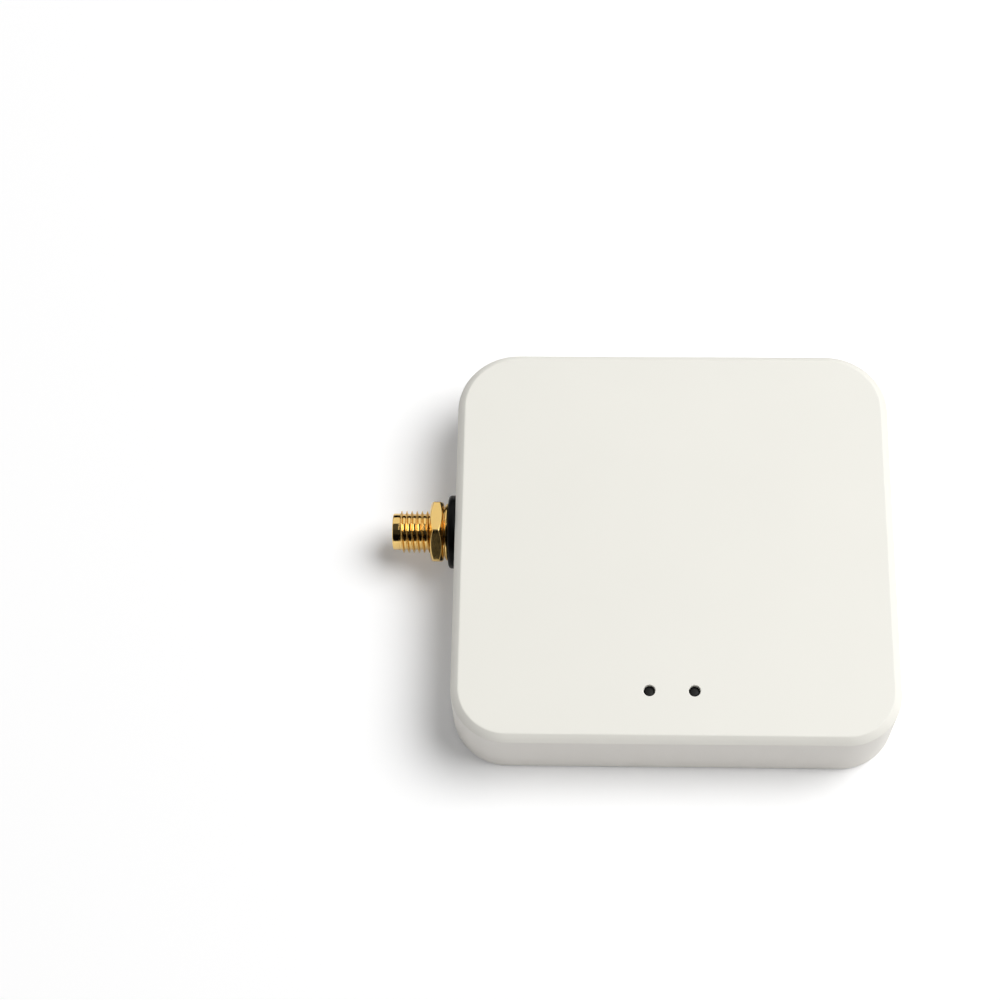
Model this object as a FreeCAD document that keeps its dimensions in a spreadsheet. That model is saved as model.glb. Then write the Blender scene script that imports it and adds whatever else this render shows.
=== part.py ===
import FreeCAD, Part
import math
import os
import Sketcher
from FreeCAD import Vector

# Small square gateway box, millimetres, +Z up, standing on its feet at z = 0.
# The origin is the middle of the whole part's outline, at the level of the feet.
# Inside each body, x and y start at the middle of the box and z at its lower rim.

size_table = [
    ("housing_width", 64.0, "box, left to right"),
    ("housing_depth", 61.0, "box, front to back"),
    ("housing_height", 12.0, "lower rim to top face"),
    ("front_corner_radius", 8.0, "plan radius of the front corners"),
    ("back_corner_radius", 9.0, "plan radius of the back corners"),
    ("bevel_inset", 1.15, "top bevel, measured along the top"),
    ("bevel_drop", 0.75, "top bevel, measured down the wall"),
    ("side_wall", 2.0, "thickness of the walls"),
    ("roof_wall", 1.8, "thickness of the top"),
    ("rim_lip", 1.0, "part of the wall that wraps the base plate"),
    ("base_gap", 0.15, "clearance round the base plate"),
    ("base_thickness", 1.5, "base plate"),
    ("foot_radius", 4.0, "rubber foot"),
    ("foot_height", 0.5, "rubber foot, stuck to the base plate"),
    ("foot_side_inset", 17.0, "feet, from the box's sides"),
    ("foot_end_inset", 9.5, "feet, from the box's front and back"),
    ("boss_inset", 6.8, "screw bosses, from the outer faces of their two walls"),
    ("boss_radius", 2.6, "screw boss"),
    ("boss_rib", 1.0, "thickness of the ribs that tie a boss to the walls"),
    ("screw_radius", 1.0, "housing screw and its thread in the boss"),
    ("screw_length", 7.0, "housing screw, under and with its head"),
    ("screw_head_radius", 1.9, "countersunk head"),
    ("screw_head_height", 0.9, "countersunk head"),
    ("screw_hole_gap", 0.15, "clearance round a screw in the base plate"),
    ("pilot_spare", 0.6, "pilot hole beyond the screw's end"),
    ("standoff_side_inset", 7.5, "board screws, from the box's sides"),
    ("standoff_end_inset", 14.0, "board screws, from the box's front and back"),
    ("standoff_radius", 2.5, "standoff under the board"),
    ("standoff_height", 2.0, "standoff above the base plate"),
    ("board_screw_radius", 0.8, "board screw and its thread"),
    ("board_screw_length", 3.6, "shank of a board screw"),
    ("board_screw_head_radius", 1.6, "pan head"),
    ("board_screw_head_height", 1.1, "pan head"),
    ("board_hole_gap", 0.2, "clearance round a board screw"),
    ("board_side_gap", 1.5, "between the main board and the side walls"),
    ("board_front_gap", 1.3, "between the main board and the front wall"),
    ("board_back_gap", 0.7, "between the main board and the back wall"),
    ("board_thickness", 1.2, "main board"),
    ("board_corner_radius", 1.0, "main board's corners"),
    ("boss_clearance", 0.5, "gap between the board and a boss or the jack"),
    ("jack_y", 3.85, "jack's axis, behind the middle"),
    ("jack_height", 5.6, "jack's axis, above the lower rim"),
    ("jack_reach", 9.47, "jack's tip, beyond the left wall"),
    ("thread_radius", 3.175, "outer radius of the jack's quarter inch thread"),
    ("held_radius", 2.95, "mean radius of the thread, where the nut and the wall hold it"),
    ("leadin_radius", 2.65, "smooth end of the jack"),
    ("leadin_length", 1.05, "smooth end of the jack"),
    ("leadin_bevel", 0.2, "bevel at the jack's mouth"),
    ("thread_bevel", 0.25, "bevel where the thread starts"),
    ("mouth_radius", 2.3, "bore that takes the mating sleeve"),
    ("mouth_depth", 1.9, "bore that takes the mating sleeve"),
    ("insulator_radius", 2.05, "insulator inside the jack"),
    ("contact_radius", 0.635, "centre contact"),
    ("contact_bore", 0.46, "socket in the centre contact"),
    ("contact_bore_depth", 2.6, "socket in the centre contact"),
    ("contact_slot_depth", 2.1, "slots of the centre contact's socket"),
    ("contact_slot", 0.2, "slots that make the socket springy"),
    ("flange_across", 7.8, "inner hexagon of the jack, across flats"),
    ("flange_thickness", 2.0, "inner hexagon of the jack"),
    ("flange_seat", 0.6, "depth of the hexagon's seat in the wall"),
    ("flange_gap", 0.1, "clearance round the hexagon in its seat"),
    ("jack_hole_gap", 0.2, "clearance round the thread in the wall"),
    ("tail_radius", 2.4, "shoulder behind the hexagon"),
    ("tail_length", 1.2, "shoulder behind the hexagon"),
    ("stub_radius", 1.0, "crimp stub"),
    ("stub_length", 4.0, "crimp stub"),
    ("insulator_end", 0.5, "wall left between the insulator and the stub"),
    ("sleeve_thickness", 0.4, "wall of the crimp sleeve"),
    ("sleeve_length", 5.4, "crimp sleeve"),
    ("seal_radius", 5.4, "black rubber washer"),
    ("seal_thickness", 1.0, "black rubber washer"),
    ("seal_bevel", 0.4, "bevel on the seal's outer edge"),
    ("lock_radius", 4.25, "lock washer"),
    ("lock_thickness", 0.65, "lock washer"),
    ("nut_across", 8.8, "hexagon nut, across flats"),
    ("nut_thickness", 1.95, "hexagon nut"),
    ("nut_face_radius", 3.75, "round face between nut and lock washer"),
    ("nut_face_height", 0.23, "round face between nut and lock washer"),
    ("nut_turn", 20.3, "corner of the nut nearest the upright, degrees"),
    ("nut_crown_radius", 4.15, "flat end of the nut inside its bevel"),
    ("crown_slope", 30.0, "bevel at both ends of the nut, degrees"),
    ("washer_gap", 0.05, "clearance of nut and washers round the thread"),
    ("lead_radius", 0.57, "coaxial lead"),
    ("lead_straight", 3.0, "from the crimp sleeve to where the lead starts to rise"),
    ("socket_setback", 3.9, "snap socket, behind the middle of the second radio module"),
    ("socket_side", 3.0, "foot of the snap socket"),
    ("socket_foot", 0.35, "foot of the snap socket"),
    ("socket_radius", 1.0, "barrel of the snap socket"),
    ("socket_height", 1.25, "barrel of the snap socket, with its foot"),
    ("socket_wall", 0.2, "wall of the snap socket's barrel"),
    ("plug_radius", 1.45, "snap plug"),
    ("plug_height", 1.5, "snap plug"),
    ("plug_lift", 0.1, "gap between plug and the socket's foot"),
    ("plug_arm_length", 3.4, "crimp arm of the plug, from its middle"),
    ("plug_arm_width", 1.8, "crimp arm of the plug"),
    ("plug_arm_height", 1.3, "crimp arm of the plug"),
    ("plug_grip", 1.2, "stretch of the lead inside the arm"),
    ("plug_gap", 0.05, "clearance of the plug on the socket's barrel"),
    ("socket_pin", 0.25, "centre pin of the snap socket"),
    ("usb_width", 8.94, "power socket shell"),
    ("usb_height", 3.16, "power socket shell"),
    ("usb_length", 7.35, "power socket shell"),
    ("usb_skin", 0.3, "sheet of the power socket shell"),
    ("usb_inset", 0.8, "power socket's mouth, inside the back face"),
    ("usb_window_gap", 0.18, "clearance round the shell in the back wall"),
    ("usb_cup_width", 12.6, "recess for the plug's grip in the back wall"),
    ("usb_cup_height", 6.6, "recess for the plug's grip in the back wall"),
    ("usb_cup_depth", 0.9, "recess for the plug's grip in the back wall"),
    ("usb_back_block", 2.2, "moulded block at the back of the power socket"),
    ("tongue_width", 6.7, "tongue of the power socket"),
    ("tongue_thickness", 0.7, "tongue of the power socket"),
    ("tongue_inset", 0.9, "tongue's end, inside the shell's mouth"),
    ("contact_pitch", 0.5, "contacts on the tongue"),
    ("contact_strip_width", 0.25, "contacts on the tongue"),
    ("contact_strip_height", 0.05, "contacts on the tongue"),
    ("contact_strip_length", 3.2, "contacts on the tongue"),
    ("indicator_x", -0.54, "middle of the two indicators"),
    ("indicator_inset", 7.63, "row of the two indicators, behind the front face"),
    ("indicator_spacing", 6.4, "between the two indicators"),
    ("indicator_radius", 0.82, "hole in the top"),
    ("window_recess", 0.5, "light pipe's end below the top face"),
    ("window_gap", 0.03, "clearance round a light pipe"),
    ("pipe_radius", 1.2, "light pipe inside the box"),
    ("collar_wall", 0.8, "collar round a light pipe"),
    ("collar_length", 3.0, "collar below the roof"),
    ("lamp_gap", 0.3, "air between a lamp and its light pipe"),
    ("lamp_length", 1.6, "indicator lamp"),
    ("lamp_width", 0.8, "indicator lamp"),
    ("lamp_height", 0.6, "indicator lamp"),
    ("main_radio_margin", 0.15, "between the main radio module's antenna end and the board's edge"),
    ("main_radio_y", 0.0, "main radio module's middle"),
    ("main_radio_length", 25.5, "main radio module"),
    ("main_radio_width", 18.0, "main radio module"),
    ("module_thickness", 0.8, "board of a radio module"),
    ("main_shield_length", 17.6, "main radio module's can"),
    ("main_shield_width", 15.8, "main radio module's can"),
    ("main_shield_height", 2.3, "main radio module's can"),
    ("shield_skin", 0.2, "sheet of a module's can"),
    ("shield_edge", 0.9, "margin between a can and its board's end"),
    ("second_radio_x", -9.0, "second radio module's middle"),
    ("second_radio_setback", 11.37, "second radio module's middle, behind the row of indicators"),
    ("second_radio_length", 16.0, "second radio module"),
    ("second_radio_width", 13.0, "second radio module"),
    ("second_shield_length", 8.6, "second radio module's can"),
    ("second_shield_width", 11.0, "second radio module's can"),
    ("second_shield_height", 1.6, "second radio module's can"),
    ("regulator_x", 9.5, "voltage regulator"),
    ("regulator_inset", 8.8, "voltage regulator's middle, before the board's back edge"),
    ("regulator_length", 6.5, "voltage regulator"),
    ("regulator_width", 3.5, "voltage regulator"),
    ("regulator_height", 1.7, "voltage regulator"),
    ("pin_width", 0.7, "pins of a chip"),
    ("tab_width", 2.8, "cooling tab of the voltage regulator"),
    ("pin_reach", 1.7, "pins of a chip, beyond its case"),
    ("pin_height", 0.3, "pins of a chip"),
    ("inductor_x", -10.0, "power inductor"),
    ("inductor_inset", 8.3, "power inductor's middle, before the board's back edge"),
    ("inductor_side", 5.0, "power inductor"),
    ("inductor_height", 2.6, "power inductor"),
    ("inductor_corner", 1.2, "power inductor"),
    ("serial_x", -9.0, "serial chip"),
    ("serial_y", 10.0, "serial chip"),
    ("serial_side", 5.0, "serial chip"),
    ("serial_height", 0.9, "serial chip"),
    ("crystal_x", -2.2, "crystal"),
    ("crystal_y", 10.0, "crystal"),
    ("crystal_length", 3.2, "crystal"),
    ("crystal_width", 2.5, "crystal"),
    ("crystal_height", 0.8, "crystal"),
    ("storage_length", 3.5, "storage capacitor"),
    ("storage_width", 2.8, "storage capacitor"),
    ("storage_height", 1.9, "storage capacitor"),
    ("chip_length", 1.6, "chip capacitor or resistor"),
    ("chip_width", 0.8, "chip capacitor or resistor"),
    ("capacitor_height", 0.8, "chip capacitor"),
    ("resistor_height", 0.45, "chip resistor"),
    ("chip_pitch", 2.6, "between neighbouring chips in a row"),
    ("chip_margin", 1.0, "between a row of chips and what it serves"),
    ("storage_margin", 1.6, "between a storage capacitor and its neighbour"),
]


class Rule:
    """A length that knows both its number and the sheet formula behind it."""

    def __init__(self, text, number):
        self.text = text
        self.number = number

    def joined(self, sign, other, number):
        return Rule(f"({self.text} {sign} {other.text})", number)

    def __add__(self, other):
        other = rule(other)
        return self.joined("+", other, self.number + other.number)

    def __sub__(self, other):
        other = rule(other)
        return self.joined("-", other, self.number - other.number)

    def __mul__(self, other):
        other = rule(other)
        return self.joined("*", other, self.number * other.number)

    def __truediv__(self, other):
        other = rule(other)
        return self.joined("/", other, self.number / other.number)

    def __radd__(self, other):
        return rule(other) + self

    def __rsub__(self, other):
        return rule(other) - self

    def __rmul__(self, other):
        return rule(other) * self

    def __neg__(self):
        return Rule(f"(0 - {self.text})", -self.number)


def rule(value):
    if isinstance(value, Rule):
        return value
    return Rule(f"({value})", float(value))


class Sizes:
    """The sheet's sizes, each read as an attribute."""

    def __init__(self, sheet):
        self.sheet = sheet

    def __getattr__(self, name):
        return Rule(f"Sizes.{name}", float(self.sheet.get(name)))


doc = FreeCAD.newDocument("Gateway")
sheet = doc.addObject("Spreadsheet::Sheet", "Sizes")
for row, (name, number, note) in enumerate(size_table, start=1):
    sheet.set(f"A{row}", name)
    sheet.set(f"B{row}", str(number))
    sheet.setAlias(f"B{row}", name)
    sheet.set(f"C{row}", note)
doc.recompute()
size = Sizes(sheet)

nodes = []
closeness = 0.001


# General helpers


def bind(item, path, value):
    """Ties one property to its formula in the sheet."""
    item.setExpression(path, rule(value).text)


def place_node(node, name, x=0, y=0, z=0):
    """Names a sub-part and puts its own start at x, y, z in the box's axes."""
    node.Label = name
    bind(node, "Placement.Base.x", size.jack_reach / 2 + x)
    bind(node, "Placement.Base.y", y)
    bind(node, "Placement.Base.z", size.foot_height + z)
    nodes.append(node)


def new_body(name, x=0, y=0, z=0):
    body = doc.addObject("PartDesign::Body", name)
    body.AllowCompound = True
    place_node(body, name, x, y, z)
    return body


def plane_of(body, role):
    return [item for item in body.Origin.OriginFeatures if item.Role == role][0]


def sketch_on(body, role, level=0):
    """An empty sketch on one of the body's own planes, lifted along the plane's normal."""
    sketch = body.newObject("Sketcher::SketchObject", f"{body.Name}_sketch")
    sketch.AttachmentSupport = [(plane_of(body, role), "")]
    sketch.MapMode = "FlatFace"
    bind(sketch, "AttachmentOffset.Base.z", level)
    return sketch


def hold(sketch, kind, value, *points):
    value = rule(value)
    index = sketch.addConstraint(Sketcher.Constraint(kind, *points, value.number))
    sketch.setExpression(f"Constraints[{index}]", value.text)


def hold_point(sketch, geometry, end, x, y):
    hold(sketch, "DistanceX", x, -1, 1, geometry, end)
    hold(sketch, "DistanceY", y, -1, 1, geometry, end)


def draw_circle(sketch, x, y, radius):
    x, y, radius = rule(x), rule(y), rule(radius)
    centre = Vector(x.number, y.number, 0)
    circle = sketch.addGeometry(Part.Circle(centre, Vector(0, 0, 1), radius.number))
    hold(sketch, "Radius", radius, circle)
    hold_point(sketch, circle, 3, x, y)


def draw_outline(sketch, points):
    """A closed outline of straight lines through (x, y) points."""
    points = [(rule(x), rule(y)) for x, y in points]
    places = [Vector(x.number, y.number, 0) for x, y in points]
    ends = places[1:] + places[:1]
    lines = [sketch.addGeometry(Part.LineSegment(start, end)) for start, end in zip(places, ends)]
    for line, following in zip(lines, lines[1:] + lines[:1]):
        sketch.addConstraint(Sketcher.Constraint("Coincident", line, 2, following, 1))
    for line, (x, y) in zip(lines, points):
        hold_point(sketch, line, 1, x, y)


def draw_box(sketch, x, y, width, depth):
    """A rectangle about its middle."""
    x, y, across, deep = rule(x), rule(y), rule(width) / 2, rule(depth) / 2
    left, right = x - across, x + across
    front, back = y - deep, y + deep
    corners = [(left, front), (right, front), (right, back), (left, back)]
    draw_outline(sketch, corners)


def draw_rounded(sketch, x, y, width, depth, front_radius, back_radius):
    """A rectangle about its middle, with one corner radius in front and one behind."""
    x, y, across, deep = rule(x), rule(y), rule(width) / 2, rule(depth) / 2
    corners = [(1, 1, back_radius), (-1, 1, back_radius), (-1, -1, front_radius), (1, -1, front_radius)]
    arcs = []
    for number, (side, end, radius) in enumerate(corners):
        radius = rule(radius)
        middle_x = x + side * (across - radius)
        middle_y = y + end * (deep - radius)
        centre = Vector(middle_x.number, middle_y.number, 0)
        start = number * math.pi / 2
        circle = Part.Circle(centre, Vector(0, 0, 1), radius.number)
        arc = sketch.addGeometry(Part.ArcOfCircle(circle, start, start + math.pi / 2))
        hold(sketch, "Radius", radius, arc)
        hold_point(sketch, arc, 3, middle_x, middle_y)
        arcs.append(arc)
    join_arcs(sketch, arcs)


def join_arcs(sketch, arcs):
    """Closes an outline with a tangent line from each arc to the next."""
    for arc, following in zip(arcs, arcs[1:] + arcs[:1]):
        start = sketch.getPoint(arc, 2)
        end = sketch.getPoint(following, 1)
        line = sketch.addGeometry(Part.LineSegment(start, end))
        sketch.addConstraint(Sketcher.Constraint("Tangent", arc, 2, line, 1))
        sketch.addConstraint(Sketcher.Constraint("Tangent", line, 2, following, 1))


def draw_slot(sketch, x, y, width, height):
    """A slot about its middle, with half round ends left and right."""
    x, y, radius = rule(x), rule(y), rule(height) / 2
    reach = rule(width) / 2 - radius
    arcs = []
    for side, start in ((1, -math.pi / 2), (-1, math.pi / 2)):
        middle = x + side * reach
        circle = Part.Circle(Vector(middle.number, y.number, 0), Vector(0, 0, 1), radius.number)
        arc = sketch.addGeometry(Part.ArcOfCircle(circle, start, start + math.pi))
        hold_point(sketch, arc, 3, middle, y)
        hold(sketch, "Radius", radius, arc)
        arcs.append(arc)
    join_arcs(sketch, arcs)


def draw_hexagon(sketch, x, y, across, turn=0):
    """A hexagon by its width across flats, with its first corner turned by some degrees."""
    x, y, across = rule(x), rule(y), rule(across)
    corner = across / Rule("(2 * cos(30 deg))", 2 * math.cos(math.radians(30)))
    points = []
    for number in range(6):
        angle = rule(turn) + 60 * number
        turned = math.radians(angle.number)
        cosine = Rule(f"cos({angle.text} * 1 deg)", math.cos(turned))
        sine = Rule(f"sin({angle.text} * 1 deg)", math.sin(turned))
        points.append((x + corner * cosine, y + corner * sine))
    draw_outline(sketch, points)


def grow(body, kind, sketch, length, backwards=False):
    """Adds a pad or a pocket to a body, and makes sure that it changed the solid."""
    before = volume_of(body)
    feature = body.newObject(f"PartDesign::{kind}", f"{body.Name}_{kind.lower()}")
    feature.Profile = sketch
    bind(feature, "Length", length)
    feature.Reversed = backwards
    return checked(body, feature, before, kind == "Pocket")


def turn_round(body, sketch, axis, kind="Revolution"):
    """Turns a sketch round one of its own axes, as added or as cut material."""
    before = volume_of(body)
    feature = body.newObject(f"PartDesign::{kind}", f"{body.Name}_{kind.lower()}")
    feature.Profile = sketch
    feature.ReferenceAxis = (sketch, [axis])
    feature.Angle = 360
    return checked(body, feature, before, kind == "Groove")


def mirror_all(body, feature, cuts=False):
    """Repeats a feature left to right and front to back."""
    before = volume_of(body)
    repeat = body.newObject("PartDesign::MultiTransform", f"{body.Name}_repeat")
    repeat.Originals = [feature]
    mirrors = []
    for role in ("YZ_Plane", "XZ_Plane"):
        mirror = body.newObject("PartDesign::Mirrored", f"{body.Name}_mirror")
        mirror.MirrorPlane = (plane_of(body, role), [""])
        mirrors.append(mirror)
    repeat.Transformations = mirrors
    return checked(body, repeat, before, cuts)


def volume_of(body):
    return body.Shape.Volume if body.Tip and not body.Shape.isNull() else 0.0


def checked(body, feature, before, cuts=None):
    """Makes a feature the body's result, and stops where it doesn't add or cut what it should."""
    body.Tip = feature
    doc.recompute()
    changed = volume_of(body) - before
    if changed == 0.0 or (changed > 0.0) == cuts:
        raise RuntimeError(f"{feature.Name} changes the solid by {changed}")
    return feature


def edges_where(shape, wanted):
    """Names of the edges that a test picks."""
    return [f"Edge{number}" for number, edge in enumerate(shape.Edges, start=1) if wanted(edge)]


def near(number, value):
    return abs(number - rule(value).number) < closeness


def lies_at(edge, axis, level):
    """True for an edge that lies whole in the plane where the axis has this value."""
    box = edge.BoundBox
    return near(getattr(box, f"{axis}Min"), level) and near(getattr(box, f"{axis}Max"), level)


def is_round(edge, radius):
    """True for a full circle of this radius."""
    circle = edge.Curve.TypeId == "Part::GeomCircle"
    return circle and near(edge.Curve.Radius, radius) and edge.isClosed()


def is_upright_at(edge, x, y):
    """True for an upright edge at one of the four mirrored places."""
    box = edge.BoundBox
    upright = box.ZLength > 0.5 and box.XLength < closeness and box.YLength < closeness
    return upright and near(abs(box.XMin), x) and near(abs(box.YMin), y)


def soften(body, wanted, radius):
    """Rounds the picked edges of a body."""
    return dress(body, "Fillet", "Radius", wanted, radius)


def bevel(body, wanted, width):
    """Bevels the picked edges of a body, as far along one face as along the other."""
    return dress(body, "Chamfer", "Size", wanted, width)


def dress(body, kind, path, wanted, value):
    before = volume_of(body)
    base = body.Tip
    feature = body.newObject(f"PartDesign::{kind}", f"{body.Name}_{kind.lower()}")
    feature.Base = (base, edges_where(base.Shape, wanted))
    bind(feature, path, value)
    return checked(body, feature, before)


def corners_of(x, y):
    """Four places, mirrored left to right and front to back."""
    return [(side * x, end * y) for side in (-1, 1) for end in (-1, 1)]


def draw_ring(sketch, x, y, inner, outer):
    draw_circle(sketch, x, y, inner)
    draw_circle(sketch, x, y, outer)


# Levels above the lower rim, and places shared by neighbours

roof_level = size.housing_height - size.roof_wall
board_bottom = size.base_thickness + size.standoff_height
board_top = board_bottom + size.board_thickness
module_top = board_top + size.module_thickness
left_face = -size.housing_width / 2
front_face = -size.housing_depth / 2
boss_x = size.housing_width / 2 - size.boss_inset
boss_y = size.housing_depth / 2 - size.boss_inset
foot_x = size.housing_width / 2 - size.foot_side_inset
foot_y = size.housing_depth / 2 - size.foot_end_inset
standoff_x = size.housing_width / 2 - size.standoff_side_inset
standoff_y = size.housing_depth / 2 - size.standoff_end_inset
board_side = size.housing_width / 2 - size.side_wall - size.board_side_gap
board_front = front_face + size.side_wall + size.board_front_gap
board_back = size.housing_depth / 2 - size.side_wall - size.board_back_gap
usb_mouth = size.housing_depth / 2 - size.usb_inset
usb_level = board_top + size.usb_height / 2
indicator_y = front_face + size.indicator_inset
indicator_left = size.indicator_x - size.indicator_spacing / 2
indicator_right = size.indicator_x + size.indicator_spacing / 2
main_radio_x = board_side - size.main_radio_margin - size.main_radio_length / 2
second_radio_y = indicator_y + size.second_radio_setback
socket_y = second_radio_y + size.socket_setback
regulator_y = board_back - size.regulator_inset
inductor_y = board_back - size.inductor_inset
plug_level = module_top + size.socket_foot + size.plug_lift
lead_level = plug_level + size.plug_height / 2

# Places along the jack's axis, from the outer face of the left wall towards the inside

jack_tip = -size.jack_reach
insulator_front = jack_tip + size.mouth_depth
flange_front = size.side_wall - size.flange_seat
flange_back = flange_front + size.flange_thickness
tail_end = flange_back + size.tail_length
insulator_back = tail_end - size.insulator_end
stub_end = tail_end + size.stub_length
sleeve_end = tail_end + size.sleeve_length
seal_face = -size.seal_thickness
lock_face = seal_face - size.lock_thickness
nut_back = lock_face - size.nut_face_height
nut_front = nut_back - size.nut_thickness


# Housing


def make_top_housing():
    body = new_body("top_housing")
    outline = sketch_on(body, "XY_Plane")
    draw_rounded(outline, 0, 0, size.housing_width, size.housing_depth,
                 size.front_corner_radius, size.back_corner_radius)
    block = grow(body, "Pad", outline, size.housing_height)

    upper = size.housing_height
    top_bevel = body.newObject("PartDesign::Chamfer", "top_bevel")
    top_bevel.Base = (block, edges_where(block.Shape, lambda edge: lies_at(edge, "Z", upper)))
    top_bevel.ChamferType = "Two distances"
    bind(top_bevel, "Size", size.bevel_drop)
    bind(top_bevel, "Size2", size.bevel_inset)
    body.Tip = top_bevel
    doc.recompute()

    cavity = sketch_on(body, "XY_Plane")
    wall = size.side_wall
    draw_rounded(cavity, 0, 0, size.housing_width - 2 * wall, size.housing_depth - 2 * wall,
                 size.front_corner_radius - wall, size.back_corner_radius - wall)
    grow(body, "Pocket", cavity, roof_level, True)

    # The base plate's rebate, with its ledge
    rebate = sketch_on(body, "XY_Plane")
    lip = size.rim_lip
    draw_rounded(rebate, 0, 0, size.housing_width - 2 * lip, size.housing_depth - 2 * lip,
                 size.front_corner_radius - lip, size.back_corner_radius - lip)
    grow(body, "Pocket", rebate, size.base_thickness, True)

    add_screw_bosses(body)
    add_indicator_holes(body)
    cut_jack_seat(body)
    cut_usb_window(body)


def add_screw_bosses(body):
    """Four bosses from the roof to the base plate, each tied to both walls of its corner."""
    bosses = sketch_on(body, "XY_Plane", size.base_thickness)
    for x, y in corners_of(boss_x, boss_y):
        draw_circle(bosses, x, y, size.boss_radius)
    grow(body, "Pad", bosses, roof_level - size.base_thickness)

    wall_x = (size.housing_width - size.side_wall) / 2
    wall_y = (size.housing_depth - size.side_wall) / 2
    side_ribs = sketch_on(body, "XY_Plane", board_bottom)
    for x, y in corners_of((boss_x + wall_x) / 2, boss_y):
        draw_box(side_ribs, x, y, wall_x - boss_x, size.boss_rib)
    grow(body, "Pad", side_ribs, roof_level - board_bottom)
    end_ribs = sketch_on(body, "XY_Plane", board_bottom)
    for x, y in corners_of(boss_x, (boss_y + wall_y) / 2):
        draw_box(end_ribs, x, y, size.boss_rib, wall_y - boss_y)
    grow(body, "Pad", end_ribs, roof_level - board_bottom)

    pilots = sketch_on(body, "XY_Plane", size.base_thickness)
    for x, y in corners_of(boss_x, boss_y):
        draw_circle(pilots, x, y, size.screw_radius)
    grow(body, "Pocket", pilots, size.screw_length + size.pilot_spare - size.base_thickness, True)


def add_indicator_holes(body):
    """Two holes in the roof, over collars that guide the light pipes."""
    collars = sketch_on(body, "XY_Plane", roof_level - size.collar_length)
    inner = size.pipe_radius + size.window_gap
    for x in (indicator_left, indicator_right):
        draw_ring(collars, x, indicator_y, inner, inner + size.collar_wall)
    grow(body, "Pad", collars, size.collar_length)

    windows = sketch_on(body, "XY_Plane", size.housing_height)
    for x in (indicator_left, indicator_right):
        draw_circle(windows, x, indicator_y, size.indicator_radius)
    grow(body, "Pocket", windows, size.roof_wall)


def cut_jack_seat(body):
    """The jack's hole in the left wall, and a hexagonal seat that stops its flange from turning."""
    hole = sketch_on(body, "YZ_Plane", left_face)
    draw_circle(hole, size.jack_y, size.jack_height, size.thread_radius + size.jack_hole_gap)
    grow(body, "Pocket", hole, size.side_wall, True)
    seat = sketch_on(body, "YZ_Plane", left_face + flange_front)
    draw_hexagon(seat, size.jack_y, size.jack_height, size.flange_across + 2 * size.flange_gap)
    grow(body, "Pocket", seat, size.flange_seat, True)


def cut_usb_window(body):
    """The power socket's window in the back wall, in a shallow recess for a plug's grip."""
    cup = sketch_on(body, "XZ_Plane", front_face)
    draw_slot(cup, 0, usb_level, size.usb_cup_width, size.usb_cup_height)
    grow(body, "Pocket", cup, size.usb_cup_depth, True)
    window = sketch_on(body, "XZ_Plane", front_face)
    gap = 2 * size.usb_window_gap
    draw_slot(window, 0, usb_level, size.usb_width + gap, size.usb_height + gap)
    grow(body, "Pocket", window, size.side_wall, True)


def make_base_plate():
    body = new_body("base_plate")
    inset = size.rim_lip + size.base_gap
    outline = sketch_on(body, "XY_Plane")
    draw_rounded(outline, 0, 0, size.housing_width - 2 * inset, size.housing_depth - 2 * inset,
                 size.front_corner_radius - inset, size.back_corner_radius - inset)
    grow(body, "Pad", outline, size.base_thickness)

    standoffs = sketch_on(body, "XY_Plane", size.base_thickness)
    threads = sketch_on(body, "XY_Plane", board_bottom)
    for x, y in corners_of(standoff_x, standoff_y):
        draw_circle(standoffs, x, y, size.standoff_radius)
        draw_circle(threads, x, y, size.board_screw_radius)
    grow(body, "Pad", standoffs, size.standoff_height)
    grow(body, "Pocket", threads, size.board_screw_length - size.board_thickness)

    cone = sketch_on(body, "XZ_Plane", -boss_y)
    draw_screw(cone, size.screw_hole_gap, size.base_thickness)
    countersink = turn_round(body, cone, "Axis0", "Groove")
    mirror_all(body, countersink, True)


def draw_screw(sketch, gap, length):
    """Half the section of a countersunk screw, or of its hole: same cone, but a gap round the shank."""
    axis_x = boss_x
    shank = size.screw_radius + gap
    slope = size.screw_head_height / (size.screw_head_radius - size.screw_radius)
    cone_end = (size.screw_head_radius - shank) * slope
    draw_outline(sketch, [(axis_x, 0), (axis_x + size.screw_head_radius, 0), (axis_x + shank, cone_end),
                          (axis_x + shank, length), (axis_x, length)])
    start, end = Vector(axis_x.number, 0, 0), Vector(axis_x.number, rule(length).number, 0)
    axis = sketch.addGeometry(Part.LineSegment(start, end), True)
    hold_point(sketch, axis, 1, axis_x, 0)
    hold_point(sketch, axis, 2, axis_x, length)


def make_rubber_feet():
    body = new_body("rubber_feet", 0, 0, -size.foot_height)
    discs = sketch_on(body, "XY_Plane")
    for x, y in corners_of(foot_x, foot_y):
        draw_circle(discs, x, y, size.foot_radius)
    grow(body, "Pad", discs, size.foot_height)


def make_housing_screws():
    body = new_body("housing_screws")
    profile = sketch_on(body, "XZ_Plane", -boss_y)
    draw_screw(profile, rule(0), size.screw_length)
    screw = turn_round(body, profile, "Axis0")
    mirror_all(body, screw)


# Main board


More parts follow.
